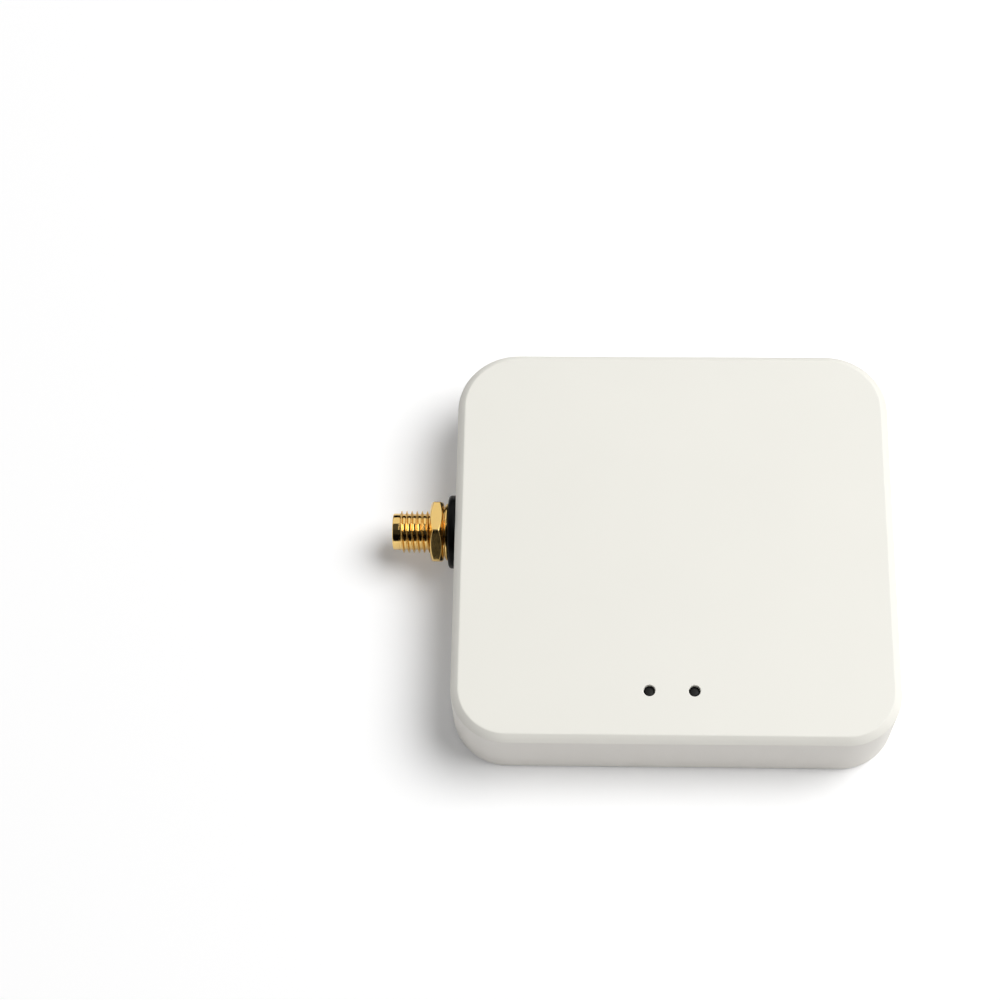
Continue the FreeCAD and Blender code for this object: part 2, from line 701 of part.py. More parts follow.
def make_circuit_board():
    body = new_body("circuit_board", 0, 0, board_bottom)
    outline = sketch_on(body, "XY_Plane")
    corner = size.board_corner_radius
    draw_rounded(outline, 0, (board_front + board_back) / 2, 2 * board_side, board_back - board_front,
                 corner, corner)
    grow(body, "Pad", outline, size.board_thickness)

    # Notches that clear the screw bosses and the jack
    inner_x = boss_x - size.boss_radius - size.boss_clearance
    inner_y = boss_y - size.boss_radius - size.boss_clearance
    outer_x = size.housing_width / 2
    outer_y = size.housing_depth / 2
    notches = sketch_on(body, "XY_Plane")
    for x, y in corners_of((inner_x + outer_x) / 2, (inner_y + outer_y) / 2):
        draw_box(notches, x, y, outer_x - inner_x, outer_y - inner_y)
    grow(body, "Pocket", notches, size.board_thickness, True)
    soften(body, lambda edge: is_upright_at(edge, inner_x, inner_y), size.board_corner_radius)

    jack_notch = sketch_on(body, "XY_Plane")
    notch_end = left_face + sleeve_end + size.boss_clearance
    half = size.flange_across / 2 / Rule("cos(30 deg)", math.cos(math.radians(30))) + size.boss_clearance
    draw_outline(jack_notch, [(left_face, size.jack_y - half), (notch_end, size.jack_y - half),
                              (notch_end, size.jack_y + half), (left_face, size.jack_y + half)])
    grow(body, "Pocket", jack_notch, size.board_thickness, True)

    holes = sketch_on(body, "XY_Plane")
    for x, y in corners_of(standoff_x, standoff_y):
        draw_circle(holes, x, y, size.board_screw_radius + size.board_hole_gap)
    grow(body, "Pocket", holes, size.board_thickness, True)


def make_board_screws():
    body = new_body("board_screws", 0, 0, board_top)
    shanks = sketch_on(body, "XY_Plane")
    heads = sketch_on(body, "XY_Plane")
    for x, y in corners_of(standoff_x, standoff_y):
        draw_circle(shanks, x, y, size.board_screw_radius)
        draw_circle(heads, x, y, size.board_screw_head_radius)
    grow(body, "Pad", heads, size.board_screw_head_height)
    grow(body, "Pad", shanks, size.board_screw_length, True)


# Antenna jack, with the x axis of each body along the jack and its start at the wall's outer face


def new_jack_body(name):
    return new_body(name, left_face, size.jack_y, size.jack_height)


def make_turned(name, points):
    """A jack piece turned from half its section, given as (along, radius) points."""
    body = new_jack_body(name)
    section = sketch_on(body, "XZ_Plane")
    draw_outline(section, points)
    turn_round(body, section, "H_Axis")
    return body


def make_jack_body():
    """The free thread stands at its crests, and the stretch that the nut holds a little lower."""
    thread_start = jack_tip + size.leadin_length
    body = make_turned("jack_body", [
        (jack_tip, size.mouth_radius),
        (jack_tip, size.leadin_radius - size.leadin_bevel),
        (jack_tip + size.leadin_bevel, size.leadin_radius),
        (thread_start, size.leadin_radius),
        (thread_start + size.thread_bevel, size.thread_radius),
        (nut_front - size.thread_bevel, size.thread_radius),
        (nut_front - size.thread_bevel, size.held_radius),
        (flange_back, size.held_radius),
        (flange_back, size.tail_radius),
        (tail_end, size.tail_radius),
        (tail_end, size.stub_radius),
        (stub_end, size.stub_radius),
        (stub_end, size.lead_radius),
        (insulator_back, size.lead_radius),
        (insulator_back, size.insulator_radius),
        (insulator_front, size.insulator_radius),
        (insulator_front, size.mouth_radius),
    ])
    flange = sketch_on(body, "YZ_Plane", flange_front)
    draw_hexagon(flange, 0, 0, size.flange_across)
    draw_circle(flange, 0, 0, size.held_radius - size.leadin_bevel)
    grow(body, "Pad", flange, size.flange_thickness)


def make_jack_insulator():
    make_turned("jack_insulator", [
        (insulator_front, size.contact_radius),
        (insulator_front, size.insulator_radius),
        (insulator_back, size.insulator_radius),
        (insulator_back, size.contact_radius),
    ])


def make_jack_contact():
    bore_end = insulator_front + size.contact_bore_depth
    body = make_turned("jack_contact", [
        (insulator_front, size.contact_bore),
        (insulator_front, size.contact_radius),
        (insulator_back, size.contact_radius),
        (insulator_back, 0),
        (bore_end, 0),
        (bore_end, size.contact_bore),
    ])
    # Two crossed slots that part the socket into four springs
    across = 3 * size.contact_radius
    for width, height in ((size.contact_slot, across), (across, size.contact_slot)):
        slot = sketch_on(body, "YZ_Plane", insulator_front)
        draw_box(slot, 0, 0, width, height)
        grow(body, "Pocket", slot, size.contact_slot_depth, True)


def make_jack_nut():
    body = new_jack_body("jack_nut")
    hexagon = sketch_on(body, "YZ_Plane", nut_front)
    draw_hexagon(hexagon, 0, 0, size.nut_across, size.nut_turn + 30)
    grow(body, "Pad", hexagon, size.nut_thickness)
    # Both ends of the hexagon are turned to a crown
    slope = Rule("tan(Sizes.crown_slope * 1 deg)", math.tan(math.radians(size.crown_slope.number)))
    outside = size.nut_across
    rise = (outside - size.nut_crown_radius) * slope
    for face, inward in ((nut_front, 1), (nut_back, -1)):
        crown = sketch_on(body, "XZ_Plane")
        crown_end = face + inward * rise
        draw_outline(crown, [(face, size.nut_crown_radius), (face, outside), (crown_end, outside)])
        turn_round(body, crown, "H_Axis", "Groove")
    face = sketch_on(body, "YZ_Plane", nut_back)
    draw_circle(face, 0, 0, size.nut_face_radius)
    grow(body, "Pad", face, size.nut_face_height)
    bore = sketch_on(body, "YZ_Plane", nut_front)
    draw_circle(bore, 0, 0, size.held_radius + size.washer_gap)
    grow(body, "Pocket", bore, size.nut_thickness + size.nut_face_height, True)


def make_ring(name, start, end, radius):
    inner = size.thread_radius + size.washer_gap
    return make_turned(name, [(start, inner), (start, radius), (end, radius), (end, inner)])


def make_jack_lock_washer():
    make_ring("jack_lock_washer", lock_face, seal_face, size.lock_radius)


def make_jack_seal():
    body = make_ring("jack_seal", seal_face, rule(0), size.seal_radius)
    bevel(body, lambda edge: is_round(edge, size.seal_radius) and lies_at(edge, "X", seal_face),
          size.seal_bevel)


def make_crimp_sleeve():
    wall = size.sleeve_thickness
    make_turned("crimp_sleeve", [
        (tail_end, size.stub_radius),
        (tail_end, size.stub_radius + wall),
        (stub_end, size.stub_radius + wall),
        (sleeve_end, size.lead_radius + wall),
        (sleeve_end, size.lead_radius),
        (stub_end, size.lead_radius),
        (stub_end, size.stub_radius),
    ])


def make_antenna_lead():
    """A round lead along straight runs joined by tangent arcs, as wide as the runs allow."""
    start_x = left_face + insulator_back
    free_x = left_face + sleeve_end
    bend_x = free_x + size.lead_straight
    end_y = socket_y + size.plug_arm_length - size.plug_grip
    points = [
        Vector(free_x.number, size.jack_y.number, size.jack_height.number),
        Vector(bend_x.number, size.jack_y.number, size.jack_height.number),
        Vector(size.second_radio_x.number, size.jack_y.number, lead_level.number),
        Vector(size.second_radio_x.number, end_y.number, lead_level.number),
    ]
    edges = []
    start = Vector(start_x.number, size.jack_y.number, size.jack_height.number)
    reached = start
    for before, corner, after in zip(points, points[1:], points[2:]):
        arriving = (corner - before).normalize()
        leaving = (after - corner).normalize()
        turn = arriving.getAngle(leaving)
        shorter = min((corner - before).Length, (after - corner).Length)
        setback = 0.45 * shorter
        print("lead bend radius", round(setback / math.tan(turn / 2), 2))
        first = corner - arriving * setback
        last = corner + leaving * setback
        inward = (leaving - arriving).normalize()
        radius = setback / math.tan(turn / 2)
        to_centre = math.sqrt(radius ** 2 + setback ** 2)
        middle = corner + inward * (to_centre - radius)
        edges.append(Part.LineSegment(reached, first).toShape())
        edges.append(Part.Arc(first, middle, last).toShape())
        reached = last
    edges.append(Part.LineSegment(reached, points[-1]).toShape())
    path = Part.Wire(edges)
    section = Part.Wire(Part.Circle(start, points[0] - start, size.lead_radius.number).toShape())
    lead = doc.addObject("Part::Feature", "antenna_lead")
    lead.Shape = path.makePipeShell([section], True, False)
    expected = math.pi * size.lead_radius.number ** 2 * path.Length
    if abs(lead.Shape.Volume / expected - 1) > 0.01:
        raise RuntimeError("the lead's volume does not match its length")
    place_node(lead, "antenna_lead")


def make_lead_socket():
    body = new_body("lead_socket", size.second_radio_x, socket_y, module_top)
    foot = sketch_on(body, "XY_Plane")
    draw_box(foot, 0, 0, size.socket_side, size.socket_side)
    grow(body, "Pad", foot, size.socket_foot)
    barrel = sketch_on(body, "XY_Plane", size.socket_foot)
    draw_ring(barrel, 0, 0, size.socket_radius - size.socket_wall, size.socket_radius)
    draw_circle(barrel, 0, 0, size.socket_pin)
    grow(body, "Pad", barrel, size.socket_height - size.socket_foot)


def make_lead_plug():
    body = new_body("lead_plug", size.second_radio_x, socket_y, plug_level)
    cap = sketch_on(body, "XY_Plane")
    draw_circle(cap, 0, 0, size.plug_radius)
    grow(body, "Pad", cap, size.plug_height)
    arm = sketch_on(body, "XZ_Plane")
    draw_box(arm, 0, size.plug_height / 2, size.plug_arm_width, size.plug_arm_height)
    grow(body, "Pad", arm, size.plug_arm_length, True)
    cavity = sketch_on(body, "XY_Plane")
    draw_circle(cavity, 0, 0, size.socket_radius + size.plug_gap)
    barrel_inside = size.socket_height - size.socket_foot - size.plug_lift
    grow(body, "Pocket", cavity, barrel_inside + size.plug_gap, True)
    grip = sketch_on(body, "XZ_Plane", -size.plug_arm_length)
    draw_circle(grip, 0, size.plug_height / 2, size.lead_radius)
    grow(body, "Pocket", grip, size.plug_grip, True)


# Radio modules


def make_module(name, x, y, width, depth):
    body = new_body(name, x, y, board_top)
    outline = sketch_on(body, "XY_Plane")
    draw_box(outline, 0, 0, width, depth)
    grow(body, "Pad", outline, size.module_thickness)


def make_shield(name, x, y, width, depth, height):
    """A drawn can, open below."""
    body = new_body(name, x, y, module_top)
    outline = sketch_on(body, "XY_Plane")
    draw_box(outline, 0, 0, width, depth)
    grow(body, "Pad", outline, height)
    hollow = sketch_on(body, "XY_Plane")
    skin = size.shield_skin
    draw_box(hollow, 0, 0, width - 2 * skin, depth - 2 * skin)
    grow(body, "Pocket", hollow, height - skin, True)


def make_radio_modules():
    make_module("main_radio_board", main_radio_x, size.main_radio_y,
                size.main_radio_length, size.main_radio_width)
    left = main_radio_x - size.main_radio_length / 2 + size.shield_edge
    make_shield("main_radio_shield", left + size.main_shield_length / 2, size.main_radio_y,
                size.main_shield_length, size.main_shield_width, size.main_shield_height)
    make_module("second_radio_board", size.second_radio_x, second_radio_y,
                size.second_radio_width, size.second_radio_length)
    front = second_radio_y - size.second_radio_length / 2 + size.shield_edge
    make_shield("second_radio_shield", size.second_radio_x, front + size.second_shield_length / 2,
                size.second_shield_width, size.second_shield_length, size.second_shield_height)


# Power socket, each body starting at the middle of the socket's mouth


def new_usb_body(name):
    return new_body(name, 0, usb_mouth, usb_level)


def make_usb_shell():
    body = new_usb_body("usb_shell")
    outline = sketch_on(body, "XZ_Plane")
    draw_slot(outline, 0, 0, size.usb_width, size.usb_height)
    draw_slot(outline, 0, 0, size.usb_width - 2 * size.usb_skin, size.usb_height - 2 * size.usb_skin)
    grow(body, "Pad", outline, size.usb_length)


def make_usb_tongue():
    body = new_usb_body("usb_tongue")
    block = sketch_on(body, "XZ_Plane", size.usb_length - size.usb_back_block)
    draw_slot(block, 0, 0, size.usb_width - 2 * size.usb_skin, size.usb_height - 2 * size.usb_skin)
    grow(body, "Pad", block, size.usb_back_block)
    tongue = sketch_on(body, "XZ_Plane", size.tongue_inset)
    draw_box(tongue, 0, 0, size.tongue_width, size.tongue_thickness)
    grow(body, "Pad", tongue, size.usb_length - size.usb_back_block - size.tongue_inset)


def make_usb_contacts():
    contact_count = 12
    body = new_usb_body("usb_contacts")
    middle_y = -size.tongue_inset - size.contact_pitch - size.contact_strip_length / 2
    for above in (True, False):
        level = size.tongue_thickness / 2 if above else -size.tongue_thickness / 2
        strips = sketch_on(body, "XY_Plane", level)
        for number in range(contact_count):
            x = size.contact_pitch * (number - (contact_count - 1) / 2)
            draw_box(strips, x, middle_y, size.contact_strip_width, size.contact_strip_length)
        grow(body, "Pad", strips, size.contact_strip_height, not above)


# Indicators


def make_indicator(lamp_name, pipe_name, x):
    lamp = new_body(lamp_name, x, indicator_y, board_top)
    outline = sketch_on(lamp, "XY_Plane")
    draw_box(outline, 0, 0, size.lamp_length, size.lamp_width)
    grow(lamp, "Pad", outline, size.lamp_height)

    start = board_top + size.lamp_height + size.lamp_gap
    pipe = new_body(pipe_name, x, indicator_y, start)
    window = size.indicator_radius - size.window_gap
    shoulder = roof_level - start
    top = size.housing_height - size.window_recess - start
    section = sketch_on(pipe, "XZ_Plane")
    draw_outline(section, [(0, 0), (size.pipe_radius, 0), (size.pipe_radius, shoulder),
                           (window, shoulder), (window, top), (0, top)])
    turn_round(pipe, section, "V_Axis")


# Small parts on the board


def make_chip_case(name, x, y, width, depth, height, corner=None):
    body = new_body(name, x, y, board_top)
    outline = sketch_on(body, "XY_Plane")
    if corner is None:
        draw_box(outline, 0, 0, width, depth)
    else:
        draw_rounded(outline, 0, 0, width, depth, corner, corner)
    grow(body, "Pad", outline, height)
    return body


def make_voltage_regulator():
    body = make_chip_case("voltage_regulator", size.regulator_x, regulator_y,
                          size.regulator_length, size.regulator_width, size.regulator_height)
    pins = sketch_on(body, "XY_Plane")
    pitch = size.regulator_length / 2 - size.pin_width
    pin_y = -size.regulator_width / 2 - size.pin_reach / 2
    for number in (-1, 0, 1):
        draw_box(pins, number * pitch, pin_y, size.pin_width, size.pin_reach)
    draw_box(pins, 0, -pin_y, size.tab_width, size.pin_reach)
    grow(body, "Pad", pins, size.pin_height)


def make_small_parts():
    make_voltage_regulator()
    side = size.inductor_side
    make_chip_case("power_inductor", size.inductor_x, inductor_y, side, side,
                   size.inductor_height, size.inductor_corner)
    side = size.serial_side
    make_chip_case("serial_chip", size.serial_x, size.serial_y, side, side, size.serial_height)
    make_chip_case("crystal", size.crystal_x, size.crystal_y, size.crystal_length, size.crystal_width,
                   size.crystal_height)

    storage = new_body("storage_capacitors", 0, 0, board_top)
    outline = sketch_on(storage, "XY_Plane")
    beside_regulator = (size.regulator_length + size.storage_length) / 2 + size.storage_margin
    beside_inductor = (size.inductor_side + size.storage_length) / 2 + size.storage_margin
    for x, y in ((size.regulator_x + beside_regulator, regulator_y),
                 (size.inductor_x - beside_inductor, inductor_y)):
        draw_box(outline, x, y, size.storage_length, size.storage_width)
    grow(storage, "Pad", outline, size.storage_height)

    # Chip capacitors stand in rows beside what they serve
    capacitors = new_body("chip_capacitors", 0, 0, board_top)
    outline = sketch_on(capacitors, "XY_Plane")
    radio_row = main_radio_x - size.main_radio_length / 2 - size.chip_margin - size.chip_length / 2
    for number in (-1, 0, 1):
        row_y = size.main_radio_y + size.chip_pitch * number
        draw_box(outline, radio_row, row_y, size.chip_length, size.chip_width)
    serial_row = size.serial_y - size.serial_side / 2 - size.chip_margin - size.chip_width / 2
    for number in (-1, 0, 1):
        row_x = size.serial_x + size.chip_pitch * number
        draw_box(outline, row_x, serial_row, size.chip_length, size.chip_width)
    pins_front = regulator_y - size.regulator_width / 2 - size.pin_reach
    for number in (0, 1, 2):
        row_x = size.regulator_x + size.chip_pitch * number
        draw_box(outline, row_x, pins_front - size.chip_margin, size.chip_length, size.chip_width)
    grow(capacitors, "Pad", outline, size.capacitor_height)

    resistors = new_body("chip_resistors", 0, 0, board_top)
    outline = sketch_on(resistors, "XY_Plane")
    lamp_row = indicator_y + size.lamp_width / 2 + size.chip_margin + size.chip_length / 2
    for x in (indicator_left, indicator_right):
        draw_box(outline, x, lamp_row - size.chip_margin / 2, size.chip_length, size.chip_width)
    socket_row = usb_mouth - size.usb_length - size.chip_margin - size.chip_width / 2
    for number in (-1, 0, 1):
        draw_box(outline, size.chip_pitch * number, socket_row, size.chip_length, size.chip_width)
    grow(resistors, "Pad", outline, size.resistor_height)


make_top_housing()
make_base_plate()
make_rubber_feet()
make_housing_screws()
make_circuit_board()
make_board_screws()
make_jack_body()
make_jack_insulator()
make_jack_contact()
make_jack_nut()
make_jack_lock_washer()
make_jack_seal()
make_crimp_sleeve()
make_antenna_lead()
make_lead_socket()
make_lead_plug()
make_radio_modules()
make_usb_shell()
make_usb_tongue()
make_usb_contacts()
make_indicator("power_led", "power_light_pipe", indicator_left)
make_indicator("status_led", "status_light_pipe", indicator_right)
make_small_parts()


# Checks and export

doc.recompute()
faults = [item.Name for item in doc.Objects if "Invalid" in item.State or "Error" in item.State]
if faults:
    raise RuntimeError(f"failed objects: {faults}")
os.makedirs("parts", exist_ok=True)
for node in nodes:
    if node.Shape.isNull() or not node.Shape.isValid():
        raise RuntimeError(f"{node.Label} has no valid shape")
for node in nodes:
    node.Shape.exportStep(f"parts/{node.Label}.step")
    print(node.Label, "solids", len(node.Shape.Solids), "volume", round(node.Shape.Volume, 2))
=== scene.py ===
import math
import bpy
import bmesh
from mathutils import Matrix, Vector


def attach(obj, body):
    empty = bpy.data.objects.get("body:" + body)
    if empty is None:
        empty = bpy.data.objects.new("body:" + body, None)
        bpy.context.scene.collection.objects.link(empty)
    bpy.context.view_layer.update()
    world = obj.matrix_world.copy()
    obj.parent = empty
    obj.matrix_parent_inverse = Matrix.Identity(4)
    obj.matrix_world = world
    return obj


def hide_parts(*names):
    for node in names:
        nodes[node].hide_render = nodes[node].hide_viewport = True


# Low white gateway box with a gold coaxial jack, on a white table.
# Settings are in millimetres, in the box's own axes: x and y from its middle, z from its lower rim.
# Only the lamp and the dark cards are set in metres, in the model's frame.

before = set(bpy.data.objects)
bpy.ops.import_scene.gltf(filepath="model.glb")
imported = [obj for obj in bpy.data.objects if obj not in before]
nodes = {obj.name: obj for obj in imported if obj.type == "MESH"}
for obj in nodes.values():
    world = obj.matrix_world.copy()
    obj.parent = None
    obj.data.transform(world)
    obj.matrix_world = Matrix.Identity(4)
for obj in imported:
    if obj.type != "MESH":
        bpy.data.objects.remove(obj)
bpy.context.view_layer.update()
mm = 0.001
boxPlace = Vector((4.735, 0.0, 0.5))     # where the box's own axes start in the model's frame
overrun = 0.5                            # how far a cutting or joined form runs past the face it meets
print("model loaded:", len(nodes), "nodes")


def at(x, y, z):
    return (Vector((x, y, z)) + boxPlace) * mm


# node trees: plain arithmetic on sockets, and one method for every other node

def connect(tree, entry, value):
    if isinstance(value, Value):
        tree.links.new(value.socket, entry)
    elif value is not None:
        entry.default_value = value


class Value:
    # one output socket; arithmetic on it adds Math nodes to its tree
    def __init__(self, tree, socket):
        self.tree = tree
        self.socket = socket

    def maths(self, operation, *terms):
        made = self.tree.nodes.new("ShaderNodeMath")
        made.operation = operation
        for entry, term in zip(made.inputs, terms):
            connect(self.tree, entry, term)
        return Value(self.tree, made.outputs[0])

    def __add__(self, other):
        return self.maths("ADD", self, other)

    def __radd__(self, other):
        return self.maths("ADD", other, self)

    def __sub__(self, other):
        return self.maths("SUBTRACT", self, other)

    def __rsub__(self, other):
        return self.maths("SUBTRACT", other, self)

    def __mul__(self, other):
        return self.maths("MULTIPLY", self, other)

    def __rmul__(self, other):
        return self.maths("MULTIPLY", other, self)

    def __truediv__(self, other):
        return self.maths("DIVIDE", self, other)

    def __abs__(self):
        return self.maths("ABSOLUTE", self)

    def atLeast(self, other):
        return self.maths("MAXIMUM", self, other)

    def atMost(self, other):
        return self.maths("MINIMUM", self, other)


class Graph:
    # a node tree that is being filled
    def __init__(self, tree):
        self.tree = tree

    def node(self, kind, settings=None, inputs=None, output=0):
        made = self.tree.nodes.new(kind)
        for name, setting in (settings or {}).items():
            setattr(made, name, setting)
        for name, value in (inputs or {}).items():
            connect(self.tree, made.inputs[name], value)
        return Value(self.tree, made.outputs[output])

    def seen(self):
        # 1 for rays that show in the picture, 0 for rays that only light
        kinds = ("Is Camera Ray", "Is Glossy Ray", "Is Transmission Ray")
        shown, mirrored, through = [self.node("ShaderNodeLightPath", output=kind) for kind in kinds]
        return shown.atLeast(mirrored).atLeast(through)


class Finish(Graph):
    # a material: one Principled shader and what feeds it
    def __init__(self, name, colour, **fixed):
        self.material = bpy.data.materials.new(name)
        self.material.use_nodes = True
        super().__init__(self.material.node_tree)
        self.shader = self.tree.nodes["Principled BSDF"]
        self.shader.inputs["Base Color"].default_value = (*colour, 1.0)
        for label, value in fixed.items():
            self.shader.inputs[label.replace("_", " ")].default_value = value

    def feed(self, label, value):
        connect(self.tree, self.shader.inputs[label], value)

    def place(self):
        return self.node("ShaderNodeTexCoord", output="Object")

    def axis(self, place, letter):
        return self.node("ShaderNodeSeparateXYZ", inputs={0: place}, output=letter)

    def reach(self, place, centre, across):
        # distance from an axis through centre; across holds 1 for each direction that counts
        off = self.node("ShaderNodeVectorMath", {"operation": "SUBTRACT"}, {0: place, 1: centre})
        flat = self.node("ShaderNodeVectorMath", {"operation": "MULTIPLY"}, {0: off, 1: across})
        return self.node("ShaderNodeVectorMath", {"operation": "LENGTH"}, {0: flat}, "Value")

    def noise(self, place, grain, detail=2.0):
        inputs = {"Vector": place, "Scale": 1.0 / (grain * mm), "Detail": detail}
        return self.node("ShaderNodeTexNoise", {}, inputs)

    def ramp(self, value, low, high):
        inputs = {"Value": value, "From Min": low, "From Max": high}
        return self.node("ShaderNodeMapRange", {"interpolation_type": "SMOOTHSTEP"}, inputs)

    def blend(self, factor, first, second):
        shades = [(*shade, 1.0) if isinstance(shade, tuple) and len(shade) == 3 else shade
                  for shade in (first, second)]
        return self.node("ShaderNodeMix", {"data_type": "RGBA"}, {0: factor, 6: shades[0], 7: shades[1]}, 2)

    def bump(self, height, depth):
        inputs = {"Height": height, "Distance": depth * mm, "Strength": 1.0}
        self.feed("Normal", self.node("ShaderNodeBump", {}, inputs))


# finishes

def shaded(colour, factor):
    return tuple(channel * factor for channel in colour)


plastic = {"patch": 14.0, "dark": 0.985, "pale": 1.01, "roughSpread": 0.16}


def mouldedPlastic(name, colour, rough, grain, depth):
    look = Finish(name, colour)
    place = look.place()
    fine = look.noise(place, grain, 3.0)
    drift = look.noise(place, plastic["patch"])
    look.feed("Base Color", look.blend(drift, shaded(colour, plastic["dark"]), shaded(colour, plastic["pale"])))
    look.feed("Roughness", rough + (fine - 0.5) * plastic["roughSpread"])
    look.bump(fine, depth)
    return look.material


rubberBloom = {    # pale patches that rubber gets with age
    "grain": 0.08, "grainDepth": 0.012, "grainRough": 0.12,
    "patch": 1.6, "from": 0.42, "to": 0.72, "pale": 1.6, "patchRough": 0.06,
}


def rubber(name, colour, rough, gloss):
    size = rubberBloom
    look = Finish(name, colour, Specular_IOR_Level=gloss)
    place = look.place()
    fine = look.noise(place, size["grain"], 3.0)
    bloom = look.ramp(look.noise(place, size["patch"], 3.0), size["from"], size["to"])
    look.feed("Base Color", look.blend(bloom, colour, shaded(colour, size["pale"])))
    look.feed("Roughness", rough + fine * size["grainRough"] + bloom * size["patchRough"])
    look.bump(fine, size["grainDepth"])
    return look.material


toolMarks = {"ringsPerMm": 22.0, "ringRough": 0.10, "smear": 0.9, "smearDark": 0.93, "smearRough": 0.08}


def turnedMetal(name, colour, rough, centre, ringDepth=0.0012):
    # fine tool rings round the x axis through centre, also on the end faces
    look = Finish(name, colour, Metallic=1.0)
    place = look.place()
    radius = look.reach(place, centre, (0.0, 1.0, 1.0))
    along = look.axis(place, "X")
    rings = look.node("ShaderNodeTexNoise", {"noise_dimensions": "1D"},
                      {"W": (along + radius) * 1000.0, "Scale": toolMarks["ringsPerMm"], "Detail": 3.0})
    smear = look.noise(place, toolMarks["smear"], 3.0)
    look.feed("Base Color", look.blend(smear, shaded(colour, toolMarks["smearDark"]), colour))
    look.feed("Roughness", rough + (rings - 0.5) * toolMarks["ringRough"] + (smear - 0.5) * toolMarks["smearRough"])
    look.bump(rings, ringDepth)
    return look.material


# the pipe's smoky colour, and a painted shadow: the ring outside the core is painted darker, standing in for the shade
# of the hole's wall
smokeAndShade = {
    "colour": (0.0125, 0.0125, 0.0115), "rough": 0.38, "gloss": 0.12, "grain": 0.3, "grainDepth": 0.001,
    "inside": 0.05, "outside": 0.07, "rimPaintedShade": 0.06, "roughSpread": 0.1,
}


def smokyPipeWithPaintedShade(name, centre, coreRadius):
    # smoky clear plastic, grey over the core, with a painted shadow: a black ring round the core stands in for the
    # shade of the hole's wall on the tip
    colour, vary = smokeAndShade["colour"], smokeAndShade["roughSpread"]
    look = Finish(name, colour, Specular_IOR_Level=smokeAndShade["gloss"])
    place = look.place()
    fine = look.noise(place, smokeAndShade["grain"], 3.0)
    # painted shade: darker in a ring outside the core radius
    paintedShadeRing = look.ramp(look.reach(place, centre, (1.0, 1.0, 0.0)),
                    (coreRadius - smokeAndShade["inside"]) * mm, (coreRadius + smokeAndShade["outside"]) * mm)
    look.feed("Base Color", look.blend(paintedShadeRing, colour, shaded(colour, smokeAndShade["rimPaintedShade"])))
    look.feed("Roughness", smokeAndShade["rough"] + paintedShadeRing * vary + (fine - 0.5) * vary)
    look.bump(fine, smokeAndShade["grainDepth"])
    return look.material


rolled = {"grain": 1.4, "grainDepth": 0.002, "roughSpread": 0.14, "smear": 2.5, "smearDark": 0.9}


def sheetMetal(name, colour, rough, along=(1.0, 14.0, 14.0)):
    # rolled sheet, with grain drawn out along one axis
    look = Finish(name, colour, Metallic=1.0)
    place = look.place()
    drawn = look.node("ShaderNodeMapping", {}, {"Vector": place, "Scale": along})
    grain = look.noise(drawn, rolled["grain"], 4.0)
    smear = look.noise(place, rolled["smear"], 2.0)
    look.feed("Base Color", look.blend(smear, shaded(colour, rolled["smearDark"]), colour))
    look.feed("Roughness", rough + (grain - 0.5) * rolled["roughSpread"])
    look.bump(grain, rolled["grainDepth"])
    return look.material


solderMask = {
    "spread": 0.55, "trackFrom": 0.05, "trackTo": 0.09, "trackPale": 1.7, "padFrom": 0.12, "padTo": 0.15,
    "padColour": (0.78, 0.60, 0.26), "padMetal": 0.9, "rough": 0.42, "padSmoother": 0.12, "grain": 0.4,
    "grainRough": 0.06, "relief": 0.03,
}


def laminate(name, colour, trackPitch):
    # solder mask over copper tracks, with plated holes
    size = solderMask
    look = Finish(name, colour, Coat_Weight=0.25, Coat_Roughness=0.12)
    place = look.place()
    cells = {"Vector": place, "Scale": 1.0 / (trackPitch * mm), "Randomness": size["spread"]}
    edges = look.node("ShaderNodeTexVoronoi", {"feature": "DISTANCE_TO_EDGE"}, cells)
    cores = look.node("ShaderNodeTexVoronoi", {"feature": "F1"}, cells)
    track = 1.0 - look.ramp(edges, size["trackFrom"], size["trackTo"])
    pad = 1.0 - look.ramp(cores, size["padFrom"], size["padTo"])
    masked = look.blend(track, colour, shaded(colour, size["trackPale"]))
    look.feed("Base Color", look.blend(pad, masked, size["padColour"]))
    look.feed("Metallic", pad * size["padMetal"])
    fine = look.noise(place, size["grain"]) * size["grainRough"]
    look.feed("Roughness", size["rough"] - pad * size["padSmoother"] + fine)
    look.bump(track + pad, size["relief"])
    return look.material


moulding = {"grain": 0.09, "grainDepth": 0.01, "roughSpread": 0.2, "marks": 1.2, "dark": 0.8, "pale": 1.25}


def chipCase(name, colour, rough):
    look = Finish(name, colour)
    place = look.place()
    fine = look.noise(place, moulding["grain"], 4.0)
    marks = look.noise(place, moulding["marks"], 3.0)
    look.feed("Base Color", look.blend(marks, shaded(colour, moulding["dark"]), shaded(colour, moulding["pale"])))
    look.feed("Roughness", rough + (fine - 0.5) * moulding["roughSpread"])
    look.bump(fine, moulding["grainDepth"])
    return look.material


jack = {
    "wall": -32.0, "y": 3.85, "z": 5.6,          # where its axis leaves the left wall
    "reach": 9.47, "leadInLength": 1.05, "leadInRadius": 2.72, "leadInRound": 0.2, "coreRadius": 2.60,
    "coreRound": 0.04, "mouthRadius": 2.3, "mouthRound": 0.08, "mouthDepth": 1.9, "boreRadius": 2.05,
    "flangeFrom": 1.4, "flangeTo": 3.4, "flangeAcross": 7.8, "flangeCorner": 0.1,
    "tailEnd": 4.6, "tailRadius": 2.4, "tailRound": 0.15, "stubEnd": 8.6, "stubRadius": 1.0, "stubRound": 0.08,
    "leadRadius": 0.57, "insulatorEnd": 4.1, "insulatorRound": 0.1, "contactRadius": 0.635,
}
jackCentre = at(jack["wall"], jack["y"], jack["z"])

shellColour = (0.885, 0.872, 0.805)
goldColour = (0.83, 0.57, 0.205)
steelColour = (0.58, 0.575, 0.56)

